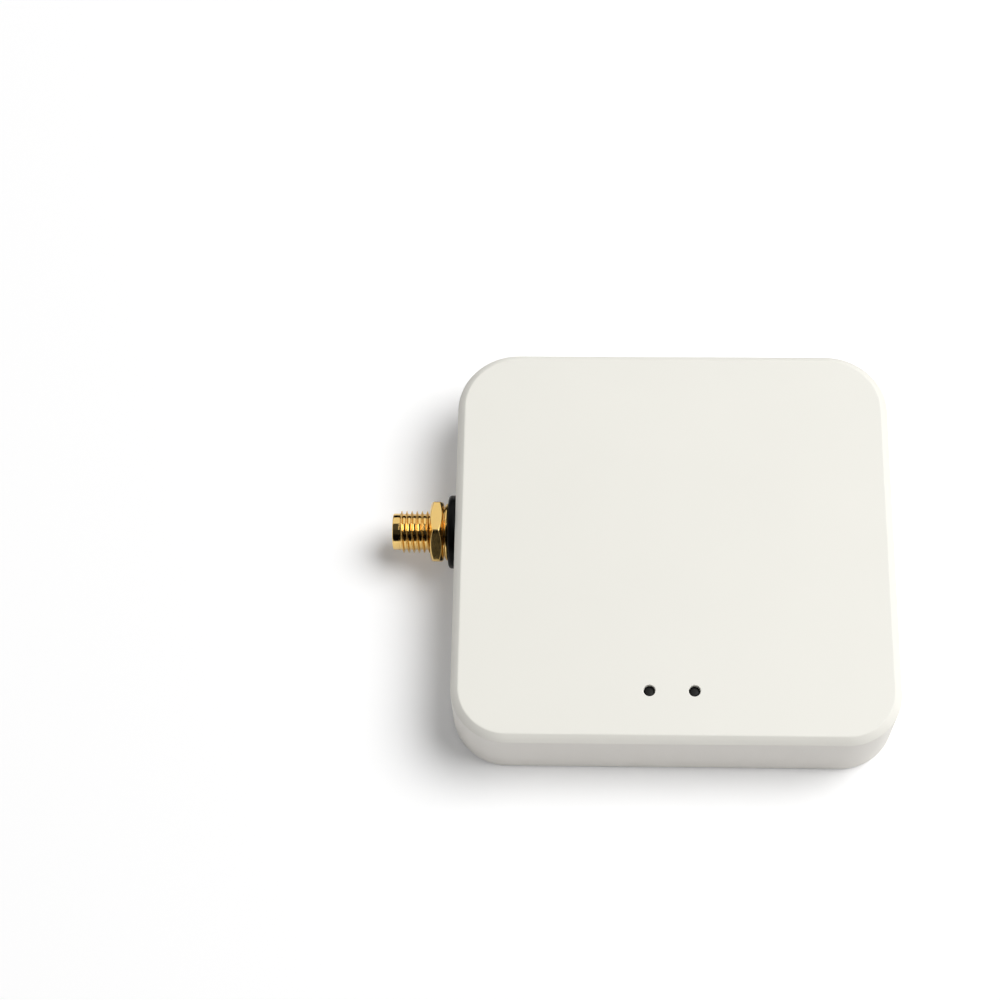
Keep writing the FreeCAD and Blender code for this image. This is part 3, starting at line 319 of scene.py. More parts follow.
shellPlastic = mouldedPlastic("shellPlastic", shellColour, 0.50, 0.11, 0.0035)
basePlastic = mouldedPlastic("basePlastic", shaded(shellColour, 0.96), 0.62, 0.16, 0.008)
sealRubber = rubber("sealRubber", (0.0026, 0.0026, 0.0026), 0.22, 0.07)
footRubber = rubber("footRubber", (0.028, 0.028, 0.028), 0.62, 0.4)
turnedGold = turnedMetal("turnedGold", goldColour, 0.12, jackCentre)
satinGold = turnedMetal("satinGold", goldColour, 0.19, jackCentre)
contactGold = turnedMetal("contactGold", shaded(goldColour, 1.02), 0.24, jackCentre, 0.0006)
insulatorWhite = mouldedPlastic("insulatorWhite", (0.80, 0.79, 0.76), 0.38, 0.2, 0.003)
screwSteel = sheetMetal("screwSteel", steelColour, 0.30, (6.0, 6.0, 1.0))
shieldTin = sheetMetal("shieldTin", (0.66, 0.65, 0.62), 0.33)
socketSteel = sheetMetal("socketSteel", steelColour, 0.26, (9.0, 1.0, 9.0))
boardGreen = laminate("boardGreen", (0.020, 0.115, 0.045), 2.3)
moduleBlack = laminate("moduleBlack", (0.016, 0.020, 0.030), 1.5)
leadJacket = mouldedPlastic("leadJacket", (0.035, 0.035, 0.037), 0.42, 0.2, 0.006)
tongueBlack = mouldedPlastic("tongueBlack", (0.022, 0.022, 0.022), 0.45, 0.15, 0.004)
lampCream = mouldedPlastic("lampCream", (0.80, 0.74, 0.46), 0.30, 0.3, 0.002)
chipBlack = chipCase("chipBlack", (0.024, 0.024, 0.026), 0.55)
ferriteGrey = chipCase("ferriteGrey", (0.10, 0.10, 0.105), 0.60)
tantalumOchre = chipCase("tantalumOchre", (0.62, 0.40, 0.07), 0.40)
ceramicTan = chipCase("ceramicTan", (0.36, 0.25, 0.15), 0.50)
print("finishes made:", len(bpy.data.materials))


# meshes

def roundedPath(corners, steps=5):
    # a closed path through (a, b, radius) corners; each radius above 0 becomes an arc
    path = []
    for index, (a, b, radius) in enumerate(corners):
        here = Vector((a, b))
        if radius == 0:
            path.append(here)
            continue
        before = (Vector(corners[index - 1][:2]) - here).normalized()
        after = (Vector(corners[(index + 1) % len(corners)][:2]) - here).normalized()
        bend = math.pi - before.angle(after)
        centre = here + (before + after).normalized() * radius / math.cos(bend / 2)
        start = here + before * radius * math.tan(bend / 2) - centre
        sweep = start.angle_signed(here + after * radius * math.tan(bend / 2) - centre)
        for step in range(steps + 1):
            angle = -sweep * step / steps
            spoke = Vector((start.x * math.cos(angle) - start.y * math.sin(angle),
                            start.x * math.sin(angle) + start.y * math.cos(angle)))
            path.append(centre + spoke)
    return path


def skin(bm, loops, closed=False):
    # quads between loops with the same number of points
    rings = [[bm.verts.new(point) for point in points] for points in loops]
    pairs = list(zip(rings, rings[1:]))
    if closed:
        pairs.append((rings[-1], rings[0]))
    for lower, upper in pairs:
        for index in range(len(lower)):
            beyond = (index + 1) % len(lower)
            bm.faces.new((lower[index], lower[beyond], upper[beyond], upper[index]))
    if not closed:
        bm.faces.new(reversed(rings[0]))
        bm.faces.new(rings[-1])


def turn(bm, corners, centre, along="x", segments=96, steps=5):
    # turns a closed (along, radius, rounding) section round an axis through centre
    section = roundedPath(corners, steps)
    basis = {"x": Matrix(((1, 0, 0), (0, 1, 0), (0, 0, 1))),
             "z": Matrix(((0, 1, 0), (0, 0, 1), (1, 0, 0)))}[along]
    loops = []
    for step in range(segments):
        angle = 2 * math.pi * step / segments
        loops.append([centre + basis @ Vector((run, radius * math.cos(angle), radius * math.sin(angle))) * mm
                      for run, radius in section])
    skin(bm, loops, closed=True)


def clean(bm, sharp=30.0):
    # welds points, drops empty faces and loose edges, and marks edges above sharp degrees
    bmesh.ops.remove_doubles(bm, verts=bm.verts, dist=1e-7)
    bmesh.ops.dissolve_degenerate(bm, edges=bm.edges, dist=1e-8)
    bmesh.ops.delete(bm, geom=[edge for edge in bm.edges if not edge.link_faces], context="EDGES")
    bmesh.ops.recalc_face_normals(bm, faces=bm.faces)
    for face in bm.faces:
        face.smooth = True
    for edge in bm.edges:
        edge.smooth = edge.calc_face_angle(0.0) < math.radians(sharp)


def newObject(name, bm):
    mesh = bpy.data.meshes.new(name)
    bm.to_mesh(mesh)
    bm.free()
    made = bpy.data.objects.new(name, mesh)
    bpy.context.scene.collection.objects.link(made)
    return made


def bake(piece):
    # applies a piece's modifiers by taking its evaluated mesh
    graph = bpy.context.evaluated_depsgraph_get()
    result = bpy.data.meshes.new_from_object(piece.evaluated_get(graph))
    piece.modifiers.clear()
    old, piece.data = piece.data, result
    result.name = piece.name
    bpy.data.meshes.remove(old)


def carve(piece, bm, operation="DIFFERENCE"):
    tool = newObject("tool", bm)
    cut = piece.modifiers.new("carve", "BOOLEAN")
    cut.operation = operation
    cut.solver = "EXACT"
    cut.object = tool
    bake(piece)
    bpy.data.objects.remove(tool)


def finish(piece, look, slotName, *replaced, bevel=0.0, sharp=30.0):
    # soft edges, even shading, finish and place in the model
    bm = bmesh.new()
    bm.from_mesh(piece.data)
    clean(bm, sharp)
    bm.to_mesh(piece.data)
    bm.free()
    piece.data.materials.clear()
    piece.data.materials.append(look)
    if bevel:
        soft = piece.modifiers.new("softEdges", "BEVEL")
        soft.width = bevel * mm
        soft.segments = 2
        soft.limit_method = "ANGLE"
        soft.angle_limit = math.radians(sharp)
        soft.harden_normals = False
    even = piece.modifiers.new("evenShading", "WEIGHTED_NORMAL")
    even.keep_sharp = True
    even.weight = 80
    if replaced:
        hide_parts(*replaced)
    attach(piece, "root")
    return piece


def dressNode(nodeName, look, slotName, bevel=0.05):
    # a merged copy of a model node, with its coplanar triangles joined and its edges softened
    bm = bmesh.new()
    bm.from_mesh(nodes[nodeName].data)
    bmesh.ops.remove_doubles(bm, verts=bm.verts, dist=1e-6)
    bmesh.ops.dissolve_limit(bm, angle_limit=math.radians(0.5), verts=bm.verts, edges=bm.edges)
    piece = newObject(nodeName + "Dressed", bm)
    return finish(piece, look, slotName, nodeName, bevel=bevel)


# housing

housing = {
    "width": 64.0, "depth": 61.0, "height": 12.0, "frontRadius": 8.0, "backRadius": 9.0,
    "bevelInset": 1.07, "bevelDrop": 1.02, "topRound": 0.40, "crownInset": 0.43, "crownDrop": 0.49,
    "crownRound": 4.0, "edgeRound": 0.10, "rimRound": 0.28, "innerRound": 0.06, "roofRound": 0.4,
    "wall": 2.0, "roof": 1.8, "lip": 1.0, "ledge": 1.5, "cornerSteps": 20, "farInside": 40.0,
}


def planLoop(settings, inset, level):
    # one rounded rectangle of the housing's outline, as far inside it as inset says
    points = []
    for sideX, sideY, radius, start in ((1, -1, settings["frontRadius"], -90), (1, 1, settings["backRadius"], 0),
                                        (-1, 1, settings["backRadius"], 90), (-1, -1, settings["frontRadius"], 180)):
        middle = (sideX * (settings["width"] / 2 - radius), sideY * (settings["depth"] / 2 - radius))
        for step in range(settings["cornerSteps"] + 1):
            angle = math.radians(start + 90 * step / settings["cornerSteps"])
            reach = radius - inset
            points.append(at(middle[0] + reach * math.cos(angle), middle[1] + reach * math.sin(angle), level))
    return points


def stadium(width, height, level, y, steps=12):
    # a slot's outline in the xz plane, round x = 0
    radius = height / 2
    points = []
    for side, start in ((1, -90), (-1, 90)):
        for step in range(steps + 1):
            angle = math.radians(start + 180 * step / steps)
            points.append(at(side * (width / 2 - radius) + radius * math.cos(angle), y,
                             level + radius * math.sin(angle)))
    return points


indicators = {
    "places": ((-3.74, -22.87), (2.66, -22.87)), "holeRadius": 0.82, "rimRound": 0.14,
    "pipeRadius": 1.2, "pipeGap": 0.03, "tipRadius": 0.80, "coreRadius": 0.52, "tipLevel": 11.5, "pipeStart": 5.6,
    "pipeRound": 0.1, "tipRound": 0.08, "tipRise": 0.06, "collarWall": 0.8, "collarLength": 3.0, "boreLength": 4.0,
}
bosses = {
    "x": 25.2, "y": 23.7, "radius": 2.6, "pilot": 1.0, "pilotEnd": 7.6,
    "rib": 1.0, "ribFrom": 3.5, "ribEndX": 31.0, "ribEndY": 29.5,
}
jackSeat = {"holeRadius": 3.375, "holeFrom": -1.0, "holeEnd": 3.0, "across": 8.0, "seatEnd": 2.6, "cornerRound": 0.1}
powerWindow = {
    "level": 6.28, "width": 9.30, "height": 3.52, "depth": 2.5, "cupWidth": 12.6, "cupHeight": 6.6, "cupDepth": 0.9,
    "rimRound": 0.25,
}


def bossPlaces():
    return [(sideX * bosses["x"], sideY * bosses["y"]) for sideX in (-1, 1) for sideY in (-1, 1)]


def quarterRound(radius, steps=6):
    # a soft rim as (depth below the face, growth) pairs, from its start up to the face
    angles = [math.radians(90 * step / steps) for step in range(steps + 1)]
    return [(radius * (1 - math.sin(angle)), radius * (1 - math.cos(angle))) for angle in angles]


def housingShell(roof):
    size = housing
    section = roundedPath([
        (size["farInside"], size["height"], 0), (size["bevelInset"], size["height"], size["topRound"]),
        (size["crownInset"], size["height"] - size["crownDrop"], size["crownRound"]),
        (0.0, size["height"] - size["bevelDrop"], size["edgeRound"]),
        (0.0, 0.0, size["rimRound"]), (size["lip"], 0.0, size["innerRound"]),
        (size["lip"], size["ledge"], 0.0), (size["wall"], size["ledge"], size["innerRound"]),
        (size["wall"], roof, size["roofRound"]), (size["farInside"], roof, 0),
    ], steps=6)[1:-1]      # the first and last corner only give the arcs beside them their direction
    bm = bmesh.new()
    skin(bm, [planLoop(size, inset, level) for inset, level in section])
    clean(bm)
    return newObject("housingShell", bm)


def addBosses(piece, roof):
    # screw bosses, and their ribs to the walls
    size = bosses
    bm = bmesh.new()
    for x, y in bossPlaces():
        turn(bm, [(housing["ledge"], 0, 0), (housing["ledge"], size["radius"], 0),
                  (roof + overrun, size["radius"], 0), (roof + overrun, 0, 0)], at(x, y, 0), "z", segments=48)
    clean(bm)
    carve(piece, bm, "UNION")
    half = size["rib"] / 2
    for x, y in bossPlaces():
        for low, high in (((x, y - half), (math.copysign(size["ribEndX"], x), y + half)),
                          ((x - half, y), (x + half, math.copysign(size["ribEndY"], y)))):
            bm = bmesh.new()
            corners = [(low[0], low[1]), (high[0], low[1]), (high[0], high[1]), (low[0], high[1])]
            skin(bm, [[at(*corner, level) for corner in corners] for level in (size["ribFrom"], roof + overrun)])
            clean(bm)
            carve(piece, bm, "UNION")


def addCollars(piece, roof):
    # collars under the indicator holes
    size = indicators
    outer = size["pipeRadius"] + size["pipeGap"] + size["collarWall"]
    bm = bmesh.new()
    for x, y in size["places"]:
        turn(bm, [(roof - size["collarLength"], 0, 0), (roof - size["collarLength"], outer, 0),
                  (roof + overrun, outer, 0), (roof + overrun, 0, 0)], at(x, y, 0), "z", segments=48)
    clean(bm)
    carve(piece, bm, "UNION")


def cutHoles(piece, roof):
    # pilots, and indicator holes with soft rims over the bores of their collars
    size = indicators
    top = housing["height"]
    bore = size["pipeRadius"] + size["pipeGap"]
    mouth = size["holeRadius"] + size["rimRound"]
    bm = bmesh.new()
    for x, y in bossPlaces():
        turn(bm, [(0.0, 0, 0), (0.0, bosses["pilot"], 0), (bosses["pilotEnd"], bosses["pilot"], 0),
                  (bosses["pilotEnd"], 0, 0)], at(x, y, 0), "z", segments=32)
    for x, y in size["places"]:
        flare = [(top - depth, size["holeRadius"] + growth, 0) for depth, growth in quarterRound(size["rimRound"])]
        turn(bm, [(roof - size["boreLength"], 0, 0), (roof - size["boreLength"], bore, 0),
                  (roof, bore, 0), (roof, size["holeRadius"], 0), *flare,
                  (top + overrun, mouth, 0), (top + overrun, 0, 0)], at(x, y, 0), "z", segments=64)
    clean(bm)
    carve(piece, bm)


def cutJackSeat(piece):
    # jack hole with the hexagonal seat of its flange
    size = jackSeat
    bm = bmesh.new()
    turn(bm, [(size["holeFrom"], 0, 0), (size["holeFrom"], size["holeRadius"], 0),
              (size["holeEnd"], size["holeRadius"], 0), (size["holeEnd"], 0, 0)], jackCentre, segments=64)
    clean(bm)
    carve(piece, bm)
    bm = bmesh.new()
    skin(bm, [hexagonLoop(run, size["across"], size["cornerRound"]) for run in (jack["flangeFrom"], size["seatEnd"])])
    clean(bm)
    carve(piece, bm)


def cutPowerWindow(piece):
    # power socket's window in its shallow recess
    size = powerWindow
    back = housing["depth"] / 2
    for width, height, depth, soft in ((size["cupWidth"], size["cupHeight"], size["cupDepth"], size["rimRound"]),
                                       (size["width"], size["height"], size["depth"], 0.0)):
        bm = bmesh.new()
        loops = [stadium(width, height, size["level"], back - depth)]
        for below, growth in quarterRound(soft, steps=5):
            loops.append(stadium(width + 2 * growth, height + 2 * growth, size["level"], back - below))
        loops.append(stadium(width + 2 * soft, height + 2 * soft, size["level"], back + overrun))
        skin(bm, loops)
        clean(bm)
        carve(piece, bm)


def buildHousing():
    roof = housing["height"] - housing["roof"]
    piece = housingShell(roof)
    addBosses(piece, roof)
    addCollars(piece, roof)
    cutHoles(piece, roof)
    cutJackSeat(piece)
    cutPowerWindow(piece)
    return finish(piece, shellPlastic, "shell_plastic", "top_housing", sharp=38.0)


# jack

def hexagonLoop(run, across, soft, turned=0.0, steps=4):
    # a hexagon round the jack's axis with rounded corners, the first at the given turn in degrees
    corner = across / 2 / math.cos(math.pi / 6)
    corners = []
    for index in range(6):
        angle = math.radians(60 * index + turned)
        corners.append((corner * math.cos(angle), corner * math.sin(angle), soft))
    return [jackCentre + Vector((run, a, b)) * mm for a, b in roundedPath(corners, steps)]


thread = {
    "radius": 3.175, "depth": 0.50, "pitch": 0.765, "rootRadius": 2.42,
    "lead": 0.99, "end": 1.2, "slope": 2.1,      # it starts inside the lead-in and ends inside the wall
    "valley": 0.48, "aroundTurn": 72, "acrossTurn": 20,
}


def buildThread():
    # a screw thread as one welded helical sheet, from named sizes
    tree = bpy.data.node_groups.new("threadTree", "GeometryNodeTree")
    graph = Graph(tree)
    sizes = {"Pitch": thread["pitch"] * mm, "Crest Radius": thread["radius"] * mm,
             "Depth": thread["depth"] * mm, "Core Radius": thread["rootRadius"] * mm,
             "Start": (jack["leadInLength"] - jack["reach"] - thread["lead"]) * mm,
             "End": thread["end"] * mm, "Slope": thread["slope"]}
    for name in sizes:
        tree.interface.new_socket(name, in_out="INPUT", socket_type="NodeSocketFloat")
    tree.interface.new_socket("Material", in_out="INPUT", socket_type="NodeSocketMaterial")
    tree.interface.new_socket("Mesh", in_out="OUTPUT", socket_type="NodeSocketGeometry")
    entry = tree.nodes.new("NodeGroupInput")
    given = {socket.name: Value(tree, socket) for socket in entry.outputs if socket.name}

    # whole columns, so that each turn meets the next one point for point
    columns = ((given["End"] - given["Start"]) / given["Pitch"] - 1.0) * float(thread["aroundTurn"])
    columns = columns.maths("ROUND", columns)
    turns = columns / float(thread["aroundTurn"])
    sheet = graph.node("GeometryNodeMeshGrid", {}, {
        "Size X": turns, "Size Y": 1.0,
        "Vertices X": columns + 1.0, "Vertices Y": thread["acrossTurn"] + 1})
    place = graph.node("GeometryNodeInputPosition")
    turnsDone = graph.node("ShaderNodeSeparateXYZ", inputs={0: place}, output="X") + turns / 2.0
    share = graph.node("ShaderNodeSeparateXYZ", inputs={0: place}, output="Y") + 0.5
    ridge = 1.0 - abs(share * 2.0 - 1.0)
    flank = ((ridge - thread["valley"]) / (1.0 - thread["valley"])).atLeast(0.0)
    height = flank * (2.0 - flank)
    along = given["Start"] + given["Pitch"] * (turnsDone + share)
    radius = given["Crest Radius"] - given["Depth"] * (1.0 - height)
    radius = radius.atMost(given["Core Radius"] + (along - given["Start"] - given["Pitch"]) * given["Slope"])
    radius = radius.atMost(given["Core Radius"] + (given["End"] - given["Pitch"] - along) * given["Slope"])
    radius = radius.atLeast(given["Core Radius"])
    angle = turnsDone * (2 * math.pi)
    spot = graph.node("ShaderNodeCombineXYZ", {}, {
        "X": along, "Y": radius * angle.maths("COSINE", angle), "Z": radius * angle.maths("SINE", angle)})
    moved = graph.node("GeometryNodeSetPosition", {}, {"Geometry": sheet, "Position": spot})
    welded = graph.node("GeometryNodeMergeByDistance", {}, {"Geometry": moved, "Distance": 0.002 * mm})
    real = graph.node("GeometryNodeRealizeInstances", {}, {"Geometry": welded})
    painted = graph.node("GeometryNodeSetMaterial", {}, {"Geometry": real, "Material": given["Material"]})
    leave = tree.nodes.new("NodeGroupOutput")
    tree.links.new(painted.socket, leave.inputs["Mesh"])

    helix = newObject("threadHelix", bmesh.new())
    grow = helix.modifiers.new("thread", "NODES")
    grow.node_group = tree
    for item in tree.interface.items_tree:
        if item.in_out == "INPUT":
            grow[item.identifier] = turnedGold if item.name == "Material" else sizes[item.name]
    bake(helix)
    return helix


def buildJack():
    size = jack
    tip = -size["reach"]
    bm = bmesh.new()
    turn(bm, [
        (tip, size["mouthRadius"], size["mouthRound"]), (tip, size["leadInRadius"], size["leadInRound"]),
        (tip + size["leadInLength"], size["leadInRadius"], size["coreRound"]),
        (tip + size["leadInLength"], size["coreRadius"], 0.0),
        (size["flangeTo"], size["coreRadius"], 0.0), (size["flangeTo"], size["tailRadius"], 0.0),
        (size["tailEnd"], size["tailRadius"], size["tailRound"]), (size["tailEnd"], size["stubRadius"], 0.0),
        (size["stubEnd"], size["stubRadius"], size["stubRound"]), (size["stubEnd"], size["leadRadius"], 0.0),
        (size["insulatorEnd"], size["leadRadius"], 0.0), (size["insulatorEnd"], size["boreRadius"], 0.0),
        (tip + size["mouthDepth"], size["boreRadius"], 0.0), (tip + size["mouthDepth"], size["mouthRadius"], 0.0),
    ], jackCentre)
    clean(bm)
    piece = newObject("jackBody", bm)
    helix = buildThread()
    bm = bmesh.new()
    bm.from_mesh(helix.data)
    bmesh.ops.translate(bm, verts=bm.verts, vec=jackCentre)
    rims = [edge for edge in bm.edges if edge.is_boundary]
    bmesh.ops.bridge_loops(bm, edges=rims)
    print("thread:", len(bm.faces), "faces,", len([edge for edge in bm.edges if edge.is_boundary]), "open edges")
    skin(bm, [hexagonLoop(run, size["flangeAcross"], size["flangeCorner"])
              for run in (size["flangeFrom"], size["flangeTo"])])
    bm.from_mesh(piece.data)
    bm.to_mesh(piece.data)
    bm.free()
    bpy.data.objects.remove(helix)
    finish(piece, turnedGold, "gold_plate", "jack_body", sharp=58.0)

    bm = bmesh.new()
    front = tip + size["mouthDepth"]
    turn(bm, [(front, size["contactRadius"], 0.0), (front, size["boreRadius"], size["insulatorRound"]),
              (size["insulatorEnd"], size["boreRadius"], 0.0), (size["insulatorEnd"], size["contactRadius"], 0.0)],
         jackCentre, segments=72)
    clean(bm)
    finish(newObject("jackInsulator", bm), insulatorWhite, "insulator_white", "jack_insulator")
    dressNode("jack_contact", contactGold, "gold_plate", bevel=0.03)
    dressNode("crimp_sleeve", contactGold, "gold_plate", bevel=0.04)


nut = {
    "front": -3.83, "back": -1.88, "faceTo": -1.65, "across": 8.8, "turned": 50.3, "cornerRound": 0.42,
    "crownRadius": 4.12, "crownSlope": 30.0, "faceRadius": 3.75, "bore": 3.0, "boreChamfer": 0.25, "faceChamfer": 0.1,
    "softEdge": 0.09, "flatPieces": 10,
}


def buildNut():
    size = nut
    slope = math.tan(math.radians(size["crownSlope"]))
    front, back, faceTo, bore = size["front"], size["back"], size["faceTo"], size["bore"]
    outline = hexagonLoop(0.0, size["across"], size["cornerRound"], size["turned"], steps=6)
    fine = []
    for index, point in enumerate(outline):      # flats are divided, so that the crown follows its curve
        beyond = outline[(index + 1) % len(outline)]
        pieces = size["flatPieces"] if (beyond - point).length > 1.0 * mm else 1
        fine.extend(point.lerp(beyond, step / pieces) for step in range(pieces))
    loops = []
    for point in fine:
        spoke = (point - jackCentre) / mm
        reach = spoke.length
        spoke.normalize()
        rise = max(0.0, reach - size["crownRadius"]) * slope
        section = [(front + size["boreChamfer"], bore), (front, bore + size["boreChamfer"]),
                   (front, size["crownRadius"]), (front + rise, reach),
                   (back - rise, reach), (back, size["crownRadius"]),
                   (back, size["faceRadius"]), (faceTo, size["faceRadius"]),
                   (faceTo, bore + size["faceChamfer"]), (faceTo - size["faceChamfer"], bore)]
        loops.append([jackCentre + (Vector((run, 0, 0)) + spoke * radius) * mm for run, radius in section])
    bm = bmesh.new()
    skin(bm, loops, closed=True)
    clean(bm)
    return finish(newObject("jackNut", bm), satinGold, "gold_plate", "jack_nut", bevel=size["softEdge"], sharp=20.0)


washers = {
    "lockFrom": -1.65, "lockTo": -1.18, "lockRadius": 4.25, "lockRound": 0.22,
    "sealTo": 0.0, "sealRadius": 5.45, "sealRound": 0.50, "wallRound": 0.12, "bore": 3.225, "boreRound": 0.1,
}


def buildWashers():
    size = washers
    bore, soft = size["bore"], size["boreRound"]
    bm = bmesh.new()
    turn(bm, [(size["lockFrom"], bore, soft), (size["lockFrom"], size["lockRadius"], size["lockRound"]),
              (size["lockTo"], size["lockRadius"], size["lockRound"]), (size["lockTo"], bore, soft)], jackCentre)
    clean(bm)
    finish(newObject("jackLockWasher", bm), turnedGold, "gold_plate", "jack_lock_washer")
    bm = bmesh.new()
    turn(bm, [(size["lockTo"], bore, soft), (size["lockTo"], size["sealRadius"], size["sealRound"]),
              (size["sealTo"], size["sealRadius"], size["wallRound"]), (size["sealTo"], bore, soft)],
         jackCentre, steps=7)
    clean(bm)
    finish(newObject("jackSeal", bm), sealRubber, "seal_rubber", "jack_seal")


# indicator windows

def buildPipes():
    size = indicators
    roof = housing["height"] - housing["roof"]
    for (x, y), name in zip(size["places"], ("power", "status")):
        bm = bmesh.new()
        turn(bm, [(size["pipeStart"], 0, 0), (size["pipeStart"], size["pipeRadius"], size["pipeRound"]),
                  (roof, size["pipeRadius"], 0.0), (roof, size["tipRadius"], 0.0),
                  (size["tipLevel"] - size["tipRise"], size["tipRadius"], size["tipRound"]), (size["tipLevel"], 0, 0)],
             at(x, y, 0), "z", segments=64)
        clean(bm)
        # its finish has a painted shadow ring round the grey core
        look = smokyPipeWithPaintedShade(name + "Smoke", at(x, y, 0), size["coreRadius"])
        finish(newObject(name + "LightPipe", bm), look, "pipe_smoke", name + "_light_pipe")
        dressNode(name + "_led", lampCream, "lamp_cream")


# screws and feet: one of each, set on its places by a node tree

def spreadTree():
    tree = bpy.data.node_groups.new("spreadTree", "GeometryNodeTree")
    for name, kind in (("Piece", "NodeSocketObject"), ("Across", "NodeSocketFloat"), ("Deep", "NodeSocketFloat"),
                       ("Middle", "NodeSocketVector"), ("Twist", "NodeSocketFloat"), ("Seed", "NodeSocketInt"),
                       ("Material", "NodeSocketMaterial")):
        tree.interface.new_socket(name, in_out="INPUT", socket_type=kind)
    tree.interface.new_socket("Mesh", in_out="OUTPUT", socket_type="NodeSocketGeometry")
    graph = Graph(tree)
    entry = tree.nodes.new("NodeGroupInput")
    given = {socket.name: Value(tree, socket) for socket in entry.outputs if socket.name}
    spots = graph.node("GeometryNodeMeshGrid", {}, {
        "Size X": given["Across"], "Size Y": given["Deep"], "Vertices X": 2, "Vertices Y": 2})
    placed = graph.node("GeometryNodeTransform", {}, {"Geometry": spots, "Translation": given["Middle"]})
    one = graph.node("GeometryNodeObjectInfo", {}, {"Object": given["Piece"]}, "Geometry")
    twist = graph.node("FunctionNodeRandomValue", {"data_type": "FLOAT"}, {
        2: 0.0, 3: given["Twist"], "Seed": given["Seed"]}, 1)
    facing = graph.node("ShaderNodeCombineXYZ", {}, {"Z": twist})
    copies = graph.node("GeometryNodeInstanceOnPoints", {}, {
        "Points": placed, "Instance": one, "Rotation": facing})
    real = graph.node("GeometryNodeRealizeInstances", {}, {"Geometry": copies})
    painted = graph.node("GeometryNodeSetMaterial", {}, {"Geometry": real, "Material": given["Material"]})
    leave = tree.nodes.new("NodeGroupOutput")
    tree.links.new(painted.socket, leave.inputs["Mesh"])
    return tree


def spread(name, bm, look, across, deep, level, twist, seed):
    one = newObject(name + "One", bm)
    piece = newObject(name, bmesh.new())
    place = piece.modifiers.new("spread", "NODES")
    place.node_group = bpy.data.node_groups.get("spreadTree") or spreadTree()
    given = {"Piece": one, "Across": across * mm, "Deep": deep * mm, "Middle": at(0, 0, level),
             "Twist": twist, "Seed": seed, "Material": look}
    for item in place.node_group.interface.items_tree:
        if item.in_out == "INPUT":
            place[item.identifier] = given[item.name]
    bake(piece)
    bpy.data.objects.remove(one)
    return piece


recess = {"wide": 0.2, "above": 0.2, "mouthShare": 1.15, "footShare": 0.35, "keptWidth": 0.75}


def recessBar(radius, top, deep, crosswise):
    # one tapered bar of the cross that is cut from a screw's head
    bm = bmesh.new()
    loops = []
    for level, share in ((top + recess["above"], recess["mouthShare"]), (top, 1.0), (top - deep, recess["footShare"])):
        across = radius * share
        wide = radius * recess["wide"] * (recess["keptWidth"] + (1.0 - recess["keptWidth"]) * share)
        loop = [(across, wide), (-across, wide), (-across, -wide), (across, -wide)]
        loops.append([Vector((-y, x, level) if crosswise else (x, y, level)) * mm for x, y in loop])
    skin(bm, loops)
    clean(bm)
    return bm


def oneScrew(section, recessRadius, top, deep, upward):
    bm = bmesh.new()
    turn(bm, section, Vector((0, 0, 0)), "z", segments=40, steps=3)
    clean(bm)
    screw = newObject("screwBlank", bm)
    for crosswise in (False, True):
        carve(screw, recessBar(recessRadius, top, deep, crosswise))
    bm = bmesh.new()
    bm.from_mesh(screw.data)
    bpy.data.objects.remove(screw)
    if not upward:
        bmesh.ops.rotate(bm, verts=bm.verts, matrix=Matrix.Rotation(math.pi, 3, "X"))
    clean(bm)
    return bm


housingScrew = {
    "headRadius": 1.9, "headHeight": 0.9, "rimRound": 0.06, "shank": 1.0, "length": 7.0, "tip": 0.4,
    "recess": 1.1, "recessDepth": 0.7, "seed": 3,
}
boardScrew = {
    "headRadius": 1.6, "headHeight": 1.1, "headRound": 0.45, "rimRound": 0.05, "shank": 0.8, "length": 3.6, "tip": 0.3,
    "recess": 0.85, "recessDepth": 0.6, "level": 4.7, "x": 24.5, "y": 16.5, "seed": 7,
}
foot = {"radius": 4.0, "height": 0.5, "round": 0.18, "topRound": 0.05, "x": 15.0, "y": 21.0}
screwTwist = 1.5     # the farthest that a screw is turned by chance, in radians


def shankEnd(size):
    # the last corners of a screw's section, down to its blunt tip
    return [(-size["length"] + size["tip"], size["shank"], 0.0), (-size["length"], size["shank"] * 0.5, 0.0),
            (-size["length"], 0, 0)]


def buildFasteners():
    size = housingScrew
    section = [(0.0, 0, 0), (0.0, size["headRadius"], size["rimRound"]),
               (-size["headHeight"], size["shank"], 0.0), *shankEnd(size)]
    bm = oneScrew(section, size["recess"], 0.0, size["recessDepth"], upward=False)
    piece = spread("housingScrews", bm, screwSteel, 2 * bosses["x"], 2 * bosses["y"], 0.0, screwTwist, size["seed"])
    finish(piece, screwSteel, "screw_steel", "housing_screws")

    size = boardScrew
    section = [(size["headHeight"], 0, 0), (size["headHeight"], size["headRadius"], size["headRound"]),
               (0.0, size["headRadius"], size["rimRound"]), (0.0, size["shank"], 0.0), *shankEnd(size)]
    bm = oneScrew(section, size["recess"], size["headHeight"], size["recessDepth"], upward=True)
    piece = spread("boardScrews", bm, screwSteel, 2 * size["x"], 2 * size["y"], size["level"], screwTwist, size["seed"])
    finish(piece, screwSteel, "screw_steel", "board_screws")

    size = foot
    bm = bmesh.new()
    turn(bm, [(-size["height"], 0, 0), (-size["height"], size["radius"], size["round"]),
              (0.0, size["radius"], size["topRound"]), (0.0, 0, 0)], Vector((0, 0, 0)), "z", segments=72)
    clean(bm)
    piece = spread("rubberFeet", bm, footRubber, 2 * size["x"], 2 * size["y"], 0.0, 0.0, 1)      # not turned
    finish(piece, footRubber, "foot_rubber", "rubber_feet")


buildHousing()
print("housing built")
buildJack()
buildNut()
buildWashers()
print("jack built")
buildPipes()
buildFasteners()
print("fasteners and feet built")

